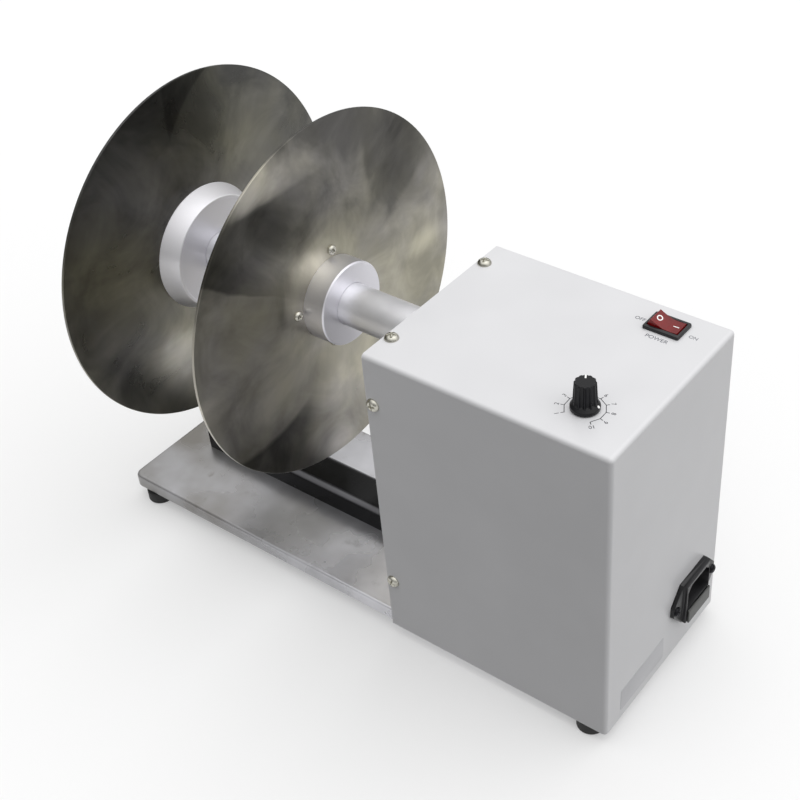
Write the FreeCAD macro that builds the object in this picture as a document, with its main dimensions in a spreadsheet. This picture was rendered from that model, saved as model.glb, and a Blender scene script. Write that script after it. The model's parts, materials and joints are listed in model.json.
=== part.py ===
import FreeCAD, Part
import math
import os
import re
import Sketcher
from FreeCAD import Placement, Rotation, Vector

# Label rewinder: a motor-driven spindle with two flange discs that wind a printed
# label web onto a core, beside a sheet-metal case that holds the drive.
# Frame: X along the spindle from the discs to the case, Y away from the side with
# the screws, Z up. The origin is on the table, under the middle of the object.

SIZES = [
    # Case, folded from coated steel sheet
    ("case_length", 148.2), ("case_width", 120.1), ("case_height", 200.0),
    ("case_sheet", 1.2), ("case_bend", 2.5), ("case_fit", 0.3),
    # Disc-side wall of the case, a shallow pan with flanges
    ("wall_sheet", 1.5), ("wall_flange", 12.0), ("wall_bend", 2.0), ("wall_corner", 2.5),
    # Base tray under discs and case
    ("tray_reach", 220.4), ("tray_rise", 9.5), ("tray_lip", 1.0), ("tray_sheet", 1.5),
    ("tray_corner", 6.0), ("tray_bend", 2.0),
    # Stiffening bar on the tray, under the spindle
    ("bar_reach", 196.0), ("bar_width", 25.4), ("bar_height", 16.0), ("bar_edge", 2.5), ("bar_gap", 0.5),
    ("bar_side", 2.2),
    # Rubber feet
    ("foot_drop", 8.5), ("foot_radius", 8.5), ("foot_taper", 1.0), ("foot_inset", 8.5),
    ("foot_end_inset", 15.5), ("foot_case_inset", 14.5), ("foot_recess_radius", 4.5), ("foot_neck_radius", 5.2),
    ("foot_well", 3.0),
    # Spindle
    ("spindle_rise", 173.0), ("spindle_radius", 12.5), ("spindle_free", 21.0), ("spindle_chamfer", 1.5),
    ("mark_groove_gap", 0.5), ("mark_groove_width", 1.0), ("mark_groove_depth", 0.4),
    ("gear_seat_radius", 9.0), ("journal_radius", 6.0), ("journal_length", 11.5),
    ("slip_fit", 0.05), ("slide_fit", 0.08), ("part_gap", 0.3),
    # Flange discs
    ("disc_radius", 108.0), ("disc_sheet", 1.5), ("inner_disc_reach", 73.4), ("outer_disc_reach", 171.9),
    # Core hubs, tapered so that a label core centres on them
    ("hub_base_radius", 39.1), ("hub_nose_radius", 34.6), ("hub_length", 12.1), ("hub_rim", 2.0), ("hub_dish", 1.0),
    # Clamping collars
    ("collar_radius", 24.9), ("collar_length", 14.2), ("collar_chamfer", 0.8),
    # Front bearing and its flanged housing
    ("bearing_outer_radius", 18.5), ("bearing_width", 7.0), ("bearing_inner_wall", 1.7),
    ("bearing_outer_wall", 1.8), ("bearing_shield", 0.5),
    ("housing_radius", 22.5), ("housing_lip", 1.5), ("housing_flange", 3.0), ("housing_bolt_offset", 32.0),
    ("housing_ear_radius", 7.0),
    # Reduction gears
    ("gear_module", 1.25), ("gear_teeth", 36.0), ("pinion_teeth", 18.0), ("gear_width", 12.0),
    ("gear_offset", 18.0), ("gear_hub_radius", 14.0), ("gear_hub_length", 6.0),
    ("pinion_hub_radius", 8.0), ("pinion_hub_length", 5.0), ("gear_backlash", 0.25),
    # Rear plate on standoffs, with the bush for the spindle journal
    ("plate_offset", 38.5), ("plate_sheet", 3.0), ("plate_half_width", 36.0),
    ("plate_above", 23.0), ("plate_below", 62.0),
    ("post_radius", 4.0), ("post_spread", 30.0), ("post_above", 17.0), ("post_below", 53.0),
    ("bush_radius", 8.5), ("bush_flange_radius", 11.0), ("bush_flange", 2.0), ("bush_tail", 3.0),
    ("running_fit", 0.05), ("ring_radius", 8.2), ("ring_width", 1.0), ("sleeve_radius", 12.0),
    # Gearmotor
    ("gearhead_radius", 24.0), ("gearhead_length", 28.0), ("motor_radius", 21.0), ("motor_room", 12.8),
    ("motor_cap_radius", 17.0), ("motor_cap_length", 4.0), ("output_radius", 4.0), ("output_length", 26.0),
    ("output_depth", 18.0), ("gearhead_boss_radius", 9.0), ("gearhead_bolt_circle", 18.0),
    # Controls in the top of the case
    ("control_line", 117.5), ("switch_side", 17.1), ("knob_side", 25.5),
    ("bezel_length", 21.0), ("bezel_width", 15.0), ("bezel_height", 2.0), ("bezel_bevel", 0.6),
    ("switch_length", 19.2), ("switch_width", 12.8), ("switch_depth", 14.0), ("switch_well", 9.0),
    ("rocker_radius", 8.8), ("rocker_tilt", 12.0), ("rocker_width", 10.4), ("rocker_sink", 2.0),
    ("rocker_waist", 2.35), ("rocker_belly", 3.7), ("rocker_pin_radius", 1.2), ("rocker_pin_reach", 0.7),
    ("switch_tab_step", 6.0), ("tab_thick", 0.8), ("tab_wide", 4.8),
    # Speed knob and its potentiometer
    ("knob_height", 16.0), ("knob_skirt_radius", 7.5), ("knob_skirt", 3.2), ("knob_foot_radius", 6.2),
    ("knob_top_radius", 5.5), ("knob_top_bevel", 0.5), ("knob_flutes", 12.0), ("knob_flute_radius", 1.25),
    ("knob_lift", 0.5), ("knob_mark_width", 0.9), ("knob_mark_depth", 0.6), ("knob_mark_start", 2.6),
    ("knob_mark_turn", 120.0), ("pot_radius", 8.5), ("pot_depth", 9.0), ("pot_bush_radius", 3.5),
    ("pot_bush_rise", 4.5), ("pot_shaft_radius", 2.5), ("pot_shaft_rise", 12.0), ("pot_shaft_drop", 5.0),
    ("pot_nut_radius", 5.2), ("pot_nut_height", 2.0),
    # Power inlet with fuse drawer, in the end wall of the case
    ("inlet_side", 30.2), ("inlet_rise", 36.8), ("inlet_stand", 5.0), ("inlet_flange", 2.5),
    ("inlet_ear_half", 22.9), ("inlet_ear_height", 7.0), ("inlet_half_width", 13.7), ("inlet_height", 29.5),
    ("inlet_block_half", 13.1), ("inlet_ear_round", 2.5),
    ("inlet_body_half", 12.9), ("inlet_body_height", 27.0), ("inlet_depth", 24.0),
    ("socket_half", 12.1), ("socket_height", 16.4), ("socket_depth", 16.0), ("socket_top_wall", 2.0),
    ("socket_corner", 4.0), ("inlet_screw_half", 20.0),
    ("pin_sink", 5.5), ("pin_thick", 2.0), ("pin_tall", 4.0), ("pin_spread", 7.0), ("pin_step", 2.0),
    ("tab_length", 8.0), ("inlet_screw_length", 8.0), ("m3_nut", 2.4),
    ("drawer_height", 7.0), ("drawer_half", 11.4), ("drawer_depth", 22.0), ("drawer_rise", -13.0),
    ("drawer_lip", 1.2), ("drawer_face_half", 12.0), ("drawer_face_low", -14.3), ("drawer_face_high", -5.0),
    ("drawer_wall", 1.0), ("fuse_radius", 2.5), ("fuse_length", 20.0), ("fuse_neck", 2.3), ("fuse_cap", 5.0),
    # Power supply and speed control board on the tray
    ("supply_room", 42.3), ("supply_width", 46.0), ("supply_height", 32.0), ("supply_offset", 22.0),
    ("supply_side", -28.0), ("supply_sheet", 1.0), ("supply_foot", 8.0),
    ("vent_start", 12.0), ("vent_pitch", 8.0), ("vent_width", 3.0), ("vent_inset", 4.0),
    ("terminal_length", 30.0), ("terminal_width", 12.0), ("terminal_height", 12.0),
    ("board_room", 44.3), ("board_width", 44.0), ("board_sheet", 1.6), ("board_offset", 22.0),
    ("board_side", 29.0), ("board_rise", 10.0), ("capacitor_radius", 8.0), ("capacitor_height", 22.0),
    ("sink_start", 12.0), ("sink_room", 50.0), ("sink_width", 12.0), ("sink_height", 24.0), ("sink_fin", 1.5),
    # Fasteners
    ("m3_radius", 1.5), ("m3_head_radius", 3.0), ("m3_head", 2.0), ("m3_length", 6.0),
    ("m4_radius", 2.0), ("m4_head_radius", 4.0), ("m4_head", 2.6), ("m4_length", 8.0), ("m4_nut", 3.2),
    ("hole_fit", 0.2), ("cover_screw_inset", 4.4), ("cover_screw_side", 40.7),
    ("cover_screw_high", 169.2), ("cover_screw_low", 38.2), ("cover_screw_length", 6.0),
    ("disc_screw_circle", 29.3), ("disc_screw_turn", 83.0), ("grub_radius", 2.5), ("grub_length", 9.0),
    ("small_grub_radius", 1.5), ("gear_grub_length", 4.5), ("pinion_grub_length", 3.5),
    ("thumb_radius", 6.0), ("thumb_length", 9.0), ("thumb_neck", 3.0), ("thumb_shank_radius", 3.0),
    ("thumb_knurls", 16.0), ("thumb_groove", 0.6), ("thumb_offset", 9.0),
]

PLACES = [
    # Levels above the table
    ("case_floor", "foot_drop"),
    ("case_roof", "foot_drop + case_height"),
    ("tray_top", "foot_drop + tray_rise"),
    ("tray_under", "foot_drop + tray_rise - tray_sheet"),
    ("axis_height", "foot_drop + spindle_rise"),
    ("pinion_height", "foot_drop + spindle_rise - gear_module * (gear_teeth + pinion_teeth) / 2"),
    ("inlet_height_mid", "foot_drop + inlet_rise"),
    # Stations along the spindle
    ("case_face", "tray_reach - (tray_reach + case_length + inlet_stand + part_gap + drawer_lip) / 2"),
    ("case_end", "case_face + case_length"),
    ("tray_left", "case_face - tray_reach"),
    ("inner_face", "case_face - inner_disc_reach"),
    ("outer_face", "case_face - outer_disc_reach"),
    ("outer_collar_end", "case_face - outer_disc_reach - disc_sheet - collar_length"),
    ("spindle_left", "case_face - outer_disc_reach - disc_sheet - collar_length - spindle_free"),
    ("housing_face", "case_face + wall_sheet"),
    ("bearing_face", "case_face + wall_sheet + housing_lip"),
    ("bearing_back", "case_face + wall_sheet + housing_lip + bearing_width"),
    ("gear_face", "case_face + gear_offset"),
    ("gear_back", "case_face + gear_offset + gear_width + gear_hub_length"),
    ("plate_face", "case_face + plate_offset"),
    ("plate_back", "case_face + plate_offset + plate_sheet"),
    ("motor_face", "case_face + plate_offset + plate_sheet + gearhead_length"),
    ("control_x", "case_face + control_line"),
    # Lengths that follow the inside of the case
    ("motor_length", "case_length - case_sheet - motor_room - motor_cap_length - plate_offset - plate_sheet"
                     " - gearhead_length"),
    ("supply_length", "case_length - case_sheet - supply_offset - supply_room"),
    ("board_length", "case_length - case_sheet - board_offset - board_room"),
    ("inlet_front", "case_end + inlet_stand"),
    ("sink_length", "case_length - case_sheet - board_offset - board_room - sink_room"),
    # Controls and inlet, from the nearer side of the case
    ("switch_offset", "case_width / 2 - switch_side"),
    ("knob_offset", "knob_side - case_width / 2"),
    ("inlet_offset", "case_width / 2 - inlet_side"),
]

doc = FreeCAD.newDocument("label_rewinder")


def fill_sheet(name, rows, formula):
    """Writes one named value per row and gives its cell that name."""
    sheet = doc.addObject("Spreadsheet::Sheet", name)
    for row, (alias, value) in enumerate(rows, start=1):
        sheet.set("A%d" % row, alias)
        sheet.set("B%d" % row, formula(value))
        sheet.setAlias("B%d" % row, alias)
    doc.recompute()
    return sheet


SIZE_NAMES = {alias for alias, value in SIZES}
PLACE_NAMES = {alias for alias, text in PLACES}


def linked(text, here=""):
    """Turns plain names in an expression into links to the sheets, seen from one of them."""
    def link(match):
        word = match.group(0)
        if word in SIZE_NAMES:
            return "sizes." + word
        return "places." + word if word in PLACE_NAMES and here != "places" else word
    return re.sub(r"[a-z][a-z0-9_]*", link, str(text))


sizes = fill_sheet("sizes", SIZES, str)
places = fill_sheet("places", PLACES, lambda text: "=" + linked(text, "places"))
gauge = doc.addObject("App::FeaturePython", "gauge")
gauge.addProperty("App::PropertyFloat", "reading")
known = {}


def number(text):
    """Reads the value of an expression of named sizes."""
    if text not in known:
        gauge.setExpression("reading", linked(text))
        gauge.recompute()
        known[text] = gauge.reading
    return known[text]


def bind(thing, prop, text):
    thing.setExpression(prop, linked(text))


def body(name, x="0", y="0", z="0", turn=None):
    """Starts a sub-part whose own origin sits at a point given by sizes."""
    new = doc.addObject("PartDesign::Body", name)
    new.Label = name
    new.Placement = Placement(Vector(), turn or Rotation())
    for axis, text in (("x", x), ("y", y), ("z", z)):
        bind(new, "Placement.Base." + axis, text)
    return new


ALONG_UP = Rotation(Vector(0, 1, 0), -90)
ALONG_DOWN = Rotation(Vector(0, 1, 0), 90)
ALONG_LEFT = Rotation(Vector(0, 0, 1), 180)


def sketch_on(owner, role, offset="0"):
    """Adds a sketch on one of the body's own origin planes, moved along its normal."""
    sketch = owner.newObject("Sketcher::SketchObject", owner.Name + "_sketch")
    plane = [feature for feature in owner.Origin.OriginFeatures if feature.Role == role][0]
    sketch.AttachmentSupport = (plane, [""])
    sketch.MapMode = "FlatFace"
    bind(sketch, "AttachmentOffset.Base.z", offset)
    return sketch


def hold(sketch, kind, text, *geometry):
    index = sketch.addConstraint(Sketcher.Constraint(kind, *geometry, number(text)))
    bind(sketch, "Constraints[%d]" % index, text)


def pin_down(sketch, geometry, vertex, x, y):
    hold(sketch, "DistanceX", x, -1, 1, geometry, vertex)
    hold(sketch, "DistanceY", y, -1, 1, geometry, vertex)


def outline(sketch, corners):
    """Draws a closed outline of straight lines through corners given by sizes."""
    points = [Vector(number(x), number(y), 0) for x, y in corners]
    first = sketch.GeometryCount
    count = len(points)
    for index, point in enumerate(points):
        sketch.addGeometry(Part.LineSegment(point, points[(index + 1) % count]), False)
    for index, (x, y) in enumerate(corners):
        after = first + (index + 1) % count
        sketch.addConstraint(Sketcher.Constraint("Coincident", first + index, 2, after, 1))
        pin_down(sketch, first + index, 1, x, y)


def rectangle(sketch, left, right, low, high):
    outline(sketch, [(left, low), (right, low), (right, high), (left, high)])


def circle(sketch, x, y, radius):
    where = Vector(number(x), number(y), 0)
    index = sketch.addGeometry(Part.Circle(where, Vector(0, 0, 1), number(radius)), False)
    hold(sketch, "Radius", radius, index)
    pin_down(sketch, index, 3, x, y)


def feature(owner, kind, sketch, length=None, both=False, back=False):
    """Adds a pad or pocket; without a length it goes through all."""
    new = owner.newObject("PartDesign::" + kind, owner.Name + "_" + kind.lower())
    new.Profile = sketch
    if length is None:
        new.Type = "ThroughAll"
    else:
        new.Type = "Length"
        bind(new, "Length", length)
    new.Midplane = both
    new.Reversed = back
    sketch.Visibility = False
    return new


def pad(owner, sketch, length, both=False, back=False):
    return feature(owner, "Pad", sketch, length, both, back)


def pocket(owner, sketch, length=None, both=False, back=False):
    return feature(owner, "Pocket", sketch, length, both, back)


def revolve(owner, corners, upright=False):
    """Turns a profile of (distance along the axis, radius) corners about the body's X or Z axis."""
    sketch = sketch_on(owner, "XZ_Plane" if upright else "XY_Plane")
    outline(sketch, [(radius, along) for along, radius in corners] if upright else corners)
    new = owner.newObject("PartDesign::Revolution", owner.Name + "_turned")
    new.Profile = sketch
    new.ReferenceAxis = (sketch, ["V_Axis" if upright else "H_Axis"])
    new.Angle = 360
    sketch.Visibility = False
    return new


def dress(owner, kind, chosen, prop, text):
    """Rounds or bevels the edges that a test picks from the body's present shape."""
    doc.recompute()
    base = owner.Tip
    names = ["Edge%d" % (index + 1) for index, edge in enumerate(base.Shape.Edges) if chosen(edge.BoundBox)]
    new = owner.newObject("PartDesign::" + kind, owner.Name + "_" + kind.lower())
    new.Base = (base, names)
    bind(new, prop, text)
    return new


def fillet(owner, chosen, radius):
    return dress(owner, "Fillet", chosen, "Radius", radius)


def chamfer(owner, chosen, size):
    return dress(owner, "Chamfer", chosen, "Size", size)


def near(value, text):
    return abs(value - number(text)) < 1e-4


def flat(box, axis, text):
    """True for an edge that lies in the plane where axis equals the given size."""
    return near(getattr(box, axis + "Min"), text) and near(getattr(box, axis + "Max"), text)


def ring_pattern(owner, cut, role, count):
    """Repeats a feature evenly around one of the body's own axes."""
    axis = [item for item in owner.Origin.OriginFeatures if item.Role == role][0]
    pattern = owner.newObject("PartDesign::PolarPattern", owner.Name + "_pattern")
    pattern.Originals = [cut]
    pattern.Axis = (axis, [""])
    pattern.Angle = 360
    bind(pattern, "Occurrences", count)
    owner.Tip = pattern
    return pattern


def washer_corners(left, right, inner, outer):
    return [(left, inner), (right, inner), (right, outer), (left, outer)]


def group(name, template, seats):
    """Makes one node of separate copies of a template piece, each at its own seat."""
    doc.recompute()
    copies = []
    for spot, turn in seats:
        piece = template.Shape.copy()
        piece.Placement = Placement(Vector(*[number(text) for text in spot]), turn)
        copies.append(piece)
    node = doc.addObject("Part::Feature", name)
    node.Label = name
    node.Shape = Part.makeCompound(copies)
    return node


def pan_screw(name, size, length):
    """A pan-head screw: its head rests at the origin and points along +X."""
    new = body(name)
    head, top, shank = size + "_head_radius", size + "_head", size + "_radius"
    revolve(new, [("-" + length, "0"), (top, "0"), (top, head + " * 0.55"), (top + " * 0.7", head + " * 0.86"),
                  (top + " * 0.3", head), ("0", head), ("0", shank), ("-" + length, shank)])
    arm, reach = head + " * 0.13", head + " * 0.6"
    cross = sketch_on(new, "YZ_Plane", top + " * 0.45")
    outline(cross, [("-" + arm, "-" + reach), (arm, "-" + reach), (arm, "-" + arm), (reach, "-" + arm),
                    (reach, arm), (arm, arm), (arm, reach), ("-" + arm, reach), ("-" + arm, arm),
                    ("-" + reach, arm), ("-" + reach, "-" + arm), ("-" + arm, "-" + arm)])
    pocket(new, cross, back=True)
    return new


def hex_nut(name, size, height):
    new = body(name)
    across = size + "_radius * 2"
    points = [("%s * cos(%d)" % (across, angle), "%s * sin(%d)" % (across, angle)) for angle in range(0, 360, 60)]
    sketch = sketch_on(new, "YZ_Plane")
    outline(sketch, points)
    circle(sketch, "0", "0", size + "_radius + slip_fit")
    pad(new, sketch, height)
    return new


FACING = {
    "left": Rotation(Vector(0, 0, 1), 180),
    "right": Rotation(),
    "up": ALONG_UP,
    "down": ALONG_DOWN,
    "front": Rotation(Vector(0, 0, 1), -90),
    "rear": Rotation(Vector(0, 0, 1), 90),
}


def base_tray():
    """Folded stainless tray: a flat top with a short skirt all round."""
    tray = body("base_tray", x="tray_left", z="foot_drop + tray_lip")
    length = "tray_reach + case_length - case_sheet - case_fit"
    half = "case_width / 2 - case_sheet - case_fit"
    plan = sketch_on(tray, "XY_Plane")
    rectangle(plan, "0", length, "-(%s)" % half, half)
    pad(tray, plan, "tray_rise - tray_lip")
    fillet(tray, lambda box: box.ZLength > 1, "tray_corner")
    fillet(tray, lambda box: flat(box, "Z", "tray_rise - tray_lip"), "tray_bend")
    hollow = sketch_on(tray, "XY_Plane")
    left, right, side = "tray_sheet", length + " - tray_sheet", "(%s - tray_sheet)" % half
    cut = " tray_corner / 2"
    outline(hollow, [(left + " +" + cut, "-" + side), (right + " -" + cut, "-" + side),
                     (right, cut + " - " + side), (right, side + " -" + cut), (right + " -" + cut, side),
                     (left + " +" + cut, side), (left, side + " -" + cut), (left, cut + " - " + side)])
    pocket(tray, hollow, "tray_rise - tray_lip - tray_sheet", back=True)
    holes = sketch_on(tray, "XY_Plane")
    for x, y in bar_screw_spots() + wall_screw_spots():
        circle(holes, "%s - tray_left" % x, y, "m4_radius + hole_fit")
    for x, y in supply_screw_spots() + board_spots():
        circle(holes, "%s - tray_left" % x, y, "m3_radius + hole_fit")
    pocket(tray, holes, back=True)
    return tray


def foot_spots():
    side = "case_width / 2 - foot_inset"
    ends = ("tray_left + foot_end_inset", "case_end - foot_case_inset")
    return [(x, y) for x in ends for y in ("-(%s)" % side, side)]


def bar_screw_spots():
    return [("case_face - bar_reach * %s" % share, "bar_side") for share in ("0.12", "0.5", "0.88")]


def wall_screw_spots():
    return [("case_face + wall_flange / 2", y) for y in ("-case_width / 4", "case_width / 4")]


def supply_screw_spots():
    middle = "case_face + supply_offset + supply_length / 2"
    reach = "supply_length / 2 + supply_foot / 2"
    return [("%s %s %s" % (middle, sign, "(" + reach + ")"), "supply_side") for sign in "-+"]


def board_spots():
    ends = ("case_face + board_offset + 4", "case_face + board_offset + board_length - 4")
    sides = ("board_side - board_width / 2 + 4", "board_side + board_width / 2 - 4")
    return [(x, y) for x in ends for y in sides]


def base_bar():
    """Black stiffening bar with rounded edges, laid along the tray under the spindle."""
    bar = body("base_bar", x="case_face - bar_reach", z="tray_top")
    section = sketch_on(bar, "YZ_Plane")
    rectangle(section, "bar_side - bar_width / 2", "bar_side + bar_width / 2", "0", "bar_height")
    pad(bar, section, "bar_reach - bar_gap")
    fillet(bar, lambda box: box.XLength > 5 and near(box.ZMin, "bar_height"), "bar_edge")
    holes = sketch_on(bar, "XY_Plane")
    for x, y in bar_screw_spots():
        circle(holes, "%s - (case_face - bar_reach)" % x, y, "m4_radius + slip_fit")
    pocket(bar, holes, "m4_length", back=True)
    return bar


def feet():
    """Four rubber feet, hollow above for a weld nut and below for a screw head."""
    foot = body("foot_form")
    well, bore, web = "foot_recess_radius", "m4_radius + hole_fit", "tray_under - m4_nut - part_gap"
    step = "foot_drop - part_gap"
    revolve(foot, [("0", well), ("0", "foot_radius - foot_taper"), ("foot_taper", "foot_radius"),
                   (step, "foot_radius"), (step, "foot_neck_radius"), ("tray_under", "foot_neck_radius"),
                   ("tray_under", well), (web, well), (web, bore), ("m4_head + foot_well", bore),
                   ("m4_head + foot_well", well)], upright=True)
    return group("feet", foot, [((x, y, "0"), Rotation()) for x, y in foot_spots()])


def tray_fasteners():
    """Screws that hold feet, bar and wall pan to the tray, and the weld nuts of the feet."""
    long_screw = pan_screw("foot_screw_form", "m4", "(tray_under - m4_head - foot_well - hole_fit)")
    nut = hex_nut("foot_nut_form", "m4", "m4_nut")
    short = pan_screw("tray_screw_form", "m4", "m4_length")
    below = bar_screw_spots() + wall_screw_spots()
    seats = [((x, y, "m4_head + foot_well"), FACING["down"]) for x, y in foot_spots()]
    nuts = [((x, y, "tray_under"), FACING["down"]) for x, y in foot_spots()]
    return [group("foot_screws", long_screw, seats), group("foot_nuts", nut, nuts),
            group("tray_screws", short, [((x, y, "tray_under"), FACING["down"]) for x, y in below])]


def case_cover():
    """White cover: roof, two sides and end wall, open below and towards the discs."""
    cover = body("case_cover", x="case_face", z="case_floor")
    plan = sketch_on(cover, "XY_Plane")
    rectangle(plan, "0", "case_length", "-case_width / 2", "case_width / 2")
    pad(cover, plan, "case_height")
    fillet(cover, lambda box: (box.ZLength > 1 and near(box.XMin, "case_length"))
           or (near(box.ZMin, "case_height") and box.XMax > 1), "case_bend")
    inside = sketch_on(cover, "XY_Plane")
    rectangle(inside, "-1", "case_length - case_sheet", "case_sheet - case_width / 2", "case_width / 2 - case_sheet")
    pocket(cover, inside, "case_height - case_sheet", back=True)
    fillet(cover, lambda box: (box.ZLength > 1 and near(box.XMin, "case_length - case_sheet"))
           or (near(box.ZMin, "case_height - case_sheet") and near(box.ZMax, "case_height - case_sheet")
               and box.XMax > 1), "case_bend - case_sheet")
    cut_roof(cover)
    cut_end_wall(cover)
    sides = sketch_on(cover, "XZ_Plane")
    for z in ("cover_screw_high", "cover_screw_low"):
        circle(sides, "cover_screw_inset", z, "m4_radius + hole_fit")
    pocket(cover, sides, "case_width + 2", both=True)
    return cover


def cut_roof(cover):
    """Openings in the roof for the rocker switch, the speed control and two screws."""
    roof = sketch_on(cover, "XY_Plane")
    half_long, half_wide = "(switch_length / 2 + hole_fit)", "(switch_width / 2 + hole_fit)"
    rectangle(roof, "control_line - " + half_long, "control_line + " + half_long,
              "switch_offset - " + half_wide, "switch_offset + " + half_wide)
    circle(roof, "control_line", "knob_offset", "pot_bush_radius + hole_fit")
    for side in ("-cover_screw_side", "cover_screw_side"):
        circle(roof, "cover_screw_inset", side, "m4_radius + hole_fit")
    pocket(cover, roof, back=True)


def cut_end_wall(cover):
    """Openings in the end wall for the power inlet and its two screws."""
    wall = sketch_on(cover, "YZ_Plane")
    half, tall = "(inlet_body_half + hole_fit)", "(inlet_body_height / 2 + hole_fit)"
    rectangle(wall, "inlet_offset - " + half, "inlet_offset + " + half, "inlet_rise - " + tall, "inlet_rise + " + tall)
    for sign in "-+":
        circle(wall, "inlet_offset %s inlet_screw_half" % sign, "inlet_rise", "m3_radius + hole_fit")
    pocket(cover, wall, back=True)


def wall_pan():
    """Disc-side wall of the case: a pan whose flanges carry the cover and stand on the tray."""
    pan = body("wall_pan", x="case_face", z="tray_top")
    half = "case_width / 2 - case_sheet - case_fit"
    top = "case_height - tray_rise - case_sheet - case_fit"
    face = sketch_on(pan, "YZ_Plane")
    rectangle(face, "-(%s)" % half, half, "0", top)
    pad(pan, face, "wall_flange")
    fillet(pan, lambda box: box.XLength > 1, "wall_corner")
    fillet(pan, lambda box: flat(box, "X", "0"), "wall_bend")
    inside = sketch_on(pan, "YZ_Plane", "wall_sheet")
    rectangle(inside, "wall_sheet - (%s)" % half, half + " - wall_sheet", "wall_sheet", top + " - wall_sheet")
    pocket(pan, inside, "wall_flange", back=True)
    front = sketch_on(pan, "YZ_Plane")
    circle(front, "0", "spindle_rise - tray_rise", "spindle_radius + 2")
    for y, z in housing_bolt_spots():
        circle(front, y, z + " - tray_top", "m4_radius + slip_fit")
    for y, z in post_spots():
        circle(front, y, z + " - tray_top", "m4_radius + slip_fit")
    pocket(pan, front, "wall_sheet", back=True)
    sides = sketch_on(pan, "XZ_Plane")
    for z in ("cover_screw_high", "cover_screw_low"):
        circle(sides, "cover_screw_inset", z + " - tray_rise", "m4_radius + slip_fit")
    pocket(pan, sides, "case_width + 2", both=True)
    ends = sketch_on(pan, "XY_Plane", "wall_flange")
    for side in ("-cover_screw_side", "cover_screw_side"):
        circle(ends, "cover_screw_inset", side, "m4_radius + slip_fit")
    pocket(pan, ends, back=True)
    feet_holes = sketch_on(pan, "XY_Plane")
    for x, y in wall_screw_spots():
        circle(feet_holes, x + " - case_face", y, "m4_radius + slip_fit")
    pocket(pan, feet_holes, "wall_sheet", back=True)
    return pan


def housing_bolt_spots():
    return [("-housing_bolt_offset", "axis_height"), ("housing_bolt_offset", "axis_height")]


def post_spots():
    return [(y, z) for y in ("-post_spread", "post_spread")
            for z in ("(axis_height + post_above)", "(axis_height - post_below)")]


def cover_fasteners():
    """Six small pan-head screws that hold the cover to the wall pan."""
    screw = pan_screw("cover_screw_form", "m4", "cover_screw_length")
    x = "case_face + cover_screw_inset"
    seats = [((x, y, "case_roof"), FACING["up"]) for y in ("-cover_screw_side", "cover_screw_side")]
    for z in ("case_floor + cover_screw_high", "case_floor + cover_screw_low"):
        seats.append(((x, "-case_width / 2", z), FACING["front"]))
        seats.append(((x, "case_width / 2", z), FACING["rear"]))
    return [group("cover_screws", screw, seats)]


def bearing_housing():
    """Flanged housing of the front bearing, bolted inside the wall pan."""
    housing = body("bearing_housing", x="housing_face", z="axis_height")
    depth = "housing_lip + bearing_width"
    revolve(housing, [("0", "spindle_radius + 2"), (depth, "spindle_radius + 2"), (depth, "housing_radius"),
                      ("0", "housing_radius")])
    ears = sketch_on(housing, "YZ_Plane")
    rectangle(ears, "-housing_bolt_offset", "housing_bolt_offset", "-housing_ear_radius", "housing_ear_radius")
    circle(ears, "0", "0", "spindle_radius + 2")
    pad(housing, ears, "housing_flange")
    for side in ("-housing_bolt_offset", "housing_bolt_offset"):
        lug = sketch_on(housing, "YZ_Plane")
        circle(lug, side, "0", "housing_ear_radius")
        pad(housing, lug, "housing_flange")
    seat = sketch_on(housing, "YZ_Plane", "housing_lip")
    circle(seat, "0", "0", "bearing_outer_radius")
    pocket(housing, seat, back=True)
    holes = sketch_on(housing, "YZ_Plane")
    for side in ("-housing_bolt_offset", "housing_bolt_offset"):
        circle(holes, side, "0", "m4_radius + hole_fit")
    pocket(housing, holes, back=True)
    return housing


def front_bearing():
    """Thin ball bearing in two rings; the shields of the outer ring reach the inner one."""
    inner = "spindle_radius + bearing_inner_wall"
    ring = body("bearing_outer_ring", x="bearing_face", z="axis_height")
    race = "bearing_outer_radius - bearing_outer_wall"
    edge = inner + " + part_gap"
    revolve(ring, [("0", edge), ("bearing_shield", edge), ("bearing_shield", race),
                   ("bearing_width - bearing_shield", race), ("bearing_width - bearing_shield", edge),
                   ("bearing_width", edge), ("bearing_width", "bearing_outer_radius"),
                   ("0", "bearing_outer_radius")])
    sleeve = body("bearing_inner_ring", x="bearing_face", z="axis_height")
    revolve(sleeve, washer_corners("0", "bearing_width", "spindle_radius + slip_fit", inner))
    return [ring, sleeve]


def rear_plate():
    """Steel plate on four posts that carries the gearmotor and the end of the spindle."""
    plate = body("rear_plate", x="plate_face", z="axis_height")
    drop = "gear_module * (gear_teeth + pinion_teeth) / 2"
    face = sketch_on(plate, "YZ_Plane")
    rectangle(face, "-plate_half_width", "plate_half_width", "-plate_below", "plate_above")
    pad(plate, face, "plate_sheet")
    fillet(plate, lambda box: box.XLength > 1, "post_radius")
    holes = sketch_on(plate, "YZ_Plane")
    circle(holes, "0", "0", "bush_radius")
    circle(holes, "0", "-" + drop, "gearhead_boss_radius + slip_fit")
    for y, z in post_spots():
        circle(holes, y, z + " - axis_height", "m4_radius + hole_fit")
    for y, z in gearhead_bolt_spots():
        circle(holes, y, z + " - axis_height", "m3_radius + hole_fit")
    pocket(plate, holes, back=True)
    return plate


def gearhead_bolt_spots():
    return [("gearhead_bolt_circle * cos(%d)" % angle, "(pinion_height + gearhead_bolt_circle * sin(%d))" % angle)
            for angle in (45, 135, 225, 315)]


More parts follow.
